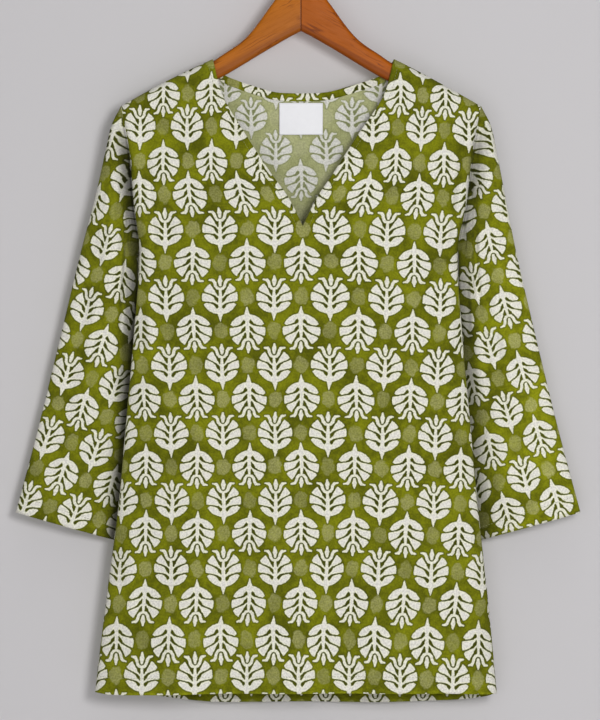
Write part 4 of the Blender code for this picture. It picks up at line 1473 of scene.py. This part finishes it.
def makeWood(name, side, grainGroup):
    material, tree, inputs = newMaterial(name, {
        "Specular IOR Level": hanger["specular"], "Coat Weight": hanger["coat"],
        "Coat Roughness": hanger["coatRoughness"]})
    place = objectPlace(tree)
    turn = tree.nodes.new("ShaderNodeMapping")
    turn.inputs["Rotation"].default_value = (0, math.radians(-side * hanger["grainSlope"]), 0)
    turn.inputs["Location"].default_value = hanger["grainStart"][side]
    plug(place, turn.inputs["Vector"])
    grain = useGroup(grainGroup, {"Place": turn.outputs[0]})
    light, dark = hanger["woodLight"][side], hanger["woodDark"]
    colour = blendColour(reach(grain["Grain"], *hanger["cloudRange"]), light,
                         tuple(mix(a, b, hanger["lightToDark"]) for a, b in zip(light, dark)))
    for mark, strength in hanger["marks"].items():
        colour = blendColour(times(grain[mark], strength), colour, dark)
    tilt = axesOf(tree.nodes.new("ShaderNodeNewGeometry").outputs["Normal"])[2]
    # painted shade on the surfaces that face down
    below = reach(tilt, *hanger["edgeTilt"], 0.0, hanger["lowerEdgeShade"][side])
    # painted shade on the surfaces that face up
    above = reach(tilt, *hanger["topTilt"], 0.0, hanger["topEdgeShade"])
    spot = axesOf(place)
    fromMiddle = doMath("ABSOLUTE", spot[0])
    lineZ, slope = hanger["lowerLine"]
    # painted shade in a band along the lower edge, its top ragged by the grain
    ragged = timesPlus(grain["Grain"], hanger["raggedShadeEdge"], -hanger["raggedShadeEdge"] / 2)
    aboveLine = plus(minus(spot[2], timesPlus(fromMiddle, slope, lineZ)), ragged)
    bandShade, full, over = hanger["lowerBandShade"][side]
    lower = reach(aboveLine, over, full, 0.0, bandShade)
    # the painted shades darken the wood
    colour = blendColour(plus(doMath("MAXIMUM", below, lower), above), colour, dark)
    start, end, strength = hanger["seamShade"]
    seam = reach(fromMiddle, start, end, 0.0, strength)
    plug(blendColour(seam, colour, hanger["seamColour"]), inputs["Base Color"])
    rough = hanger["roughness"]
    plug(reach(grain["Pores"], 0, 1, rough, rough + hanger["poreRoughness"]), inputs["Roughness"])
    plug(bump(grain["Pores"], *hanger["relief"]).outputs[0], inputs["Normal"])
    return material


wire = {
    "colours": ((0.62, 0.62, 0.64), (0.74, 0.74, 0.75)),
    "handled": (160.0, 3.0, 0.6),            # noise scale, detail and roughness
    "roughness": (0.25, 0.75, 0.14, 0.30),   # the noise's range, and the finish's
}


def makeSteel():
    material, tree, inputs = newMaterial("brightWire", {"Metallic": 1.0})
    handled = noise(objectPlace(tree), *wire["handled"])
    plug(blendColour(handled, *wire["colours"]), inputs["Base Color"])
    plug(reach(handled, *wire["roughness"]), inputs["Roughness"])
    return material


def makeThread():
    material, tree, inputs = newMaterial("sewingThread", {"Roughness": stitching["roughness"]})
    twist = noise(objectPlace(tree), stitching["twist"])
    plug(blendColour(twist, *stitching["colours"]), inputs["Base Color"])
    return material


buildStudio()
printGroup, weaveGroup, grainGroup = makePrintGroup(makeLeafGroup()), makeWeaveGroup(), makeGrainGroup()
print("materials ready")


def bothSides(name):
    # the printed side, and the wrong side behind it
    return [makeCotton(name + ending, look, printGroup, weaveGroup, **printPlaces[name])
            for ending, look in (("Print", "printed"), ("Inside", "wrongSide"))]


def takePlace(piece, node=None):
    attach(piece, "root")
    if node:
        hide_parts(node)


front = buildPanel("front", "kurtaFront", bothSides("front"))
back = buildPanel("back", "kurtaBack", bothSides("back"))
print("front and back ready")
sleeves = {}
for side, name, node in ((-1, "sleeveLeft", "sleeve_left"), (1, "sleeveRight", "sleeve_right")):
    sleeves[side] = buildSleeve(side, name, bothSides(name))
    takePlace(sleeves[side], node)
print("sleeves ready")
neckFacing = buildFacing(makeCotton("facingPrint", "printed", printGroup, weaveGroup,
                                    **printPlaces["facing"]))
label = buildLabel(makeLabelCloth(weaveGroup))
print("facing and label ready")

thread = makeThread()
frontStitches, backStitches = [
    stitchObject(panel + "Stitches", [hemLine(panel), neckLine(panel, -1), neckLine(panel, 1)], thread)
    for panel in ("front", "back")]
cuffStitches = {side: stitchObject(name, sleeveLines(side), thread)
                for side, name in ((-1, "cuffStitchesLeft"), (1, "cuffStitchesRight"))}
print("stitching ready")

takePlace(front, "front_panel")
takePlace(back, "back_panel")
takePlace(neckFacing, "back_neck_facing")
takePlace(label, "label")
for stitches in (frontStitches, backStitches, cuffStitches[-1], cuffStitches[1]):
    takePlace(stitches)

for side, name, node in ((-1, "hangerArmLeft", "hanger_arm_left"),
                         (1, "hangerArmRight", "hanger_arm_right")):
    takePlace(buildArm(side, name, makeWood(name + "Wood", side, grainGroup)), node)
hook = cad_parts["hanger_hook"]
hook.data.materials.clear()
hook.data.materials.append(makeSteel())
print("hanger ready")
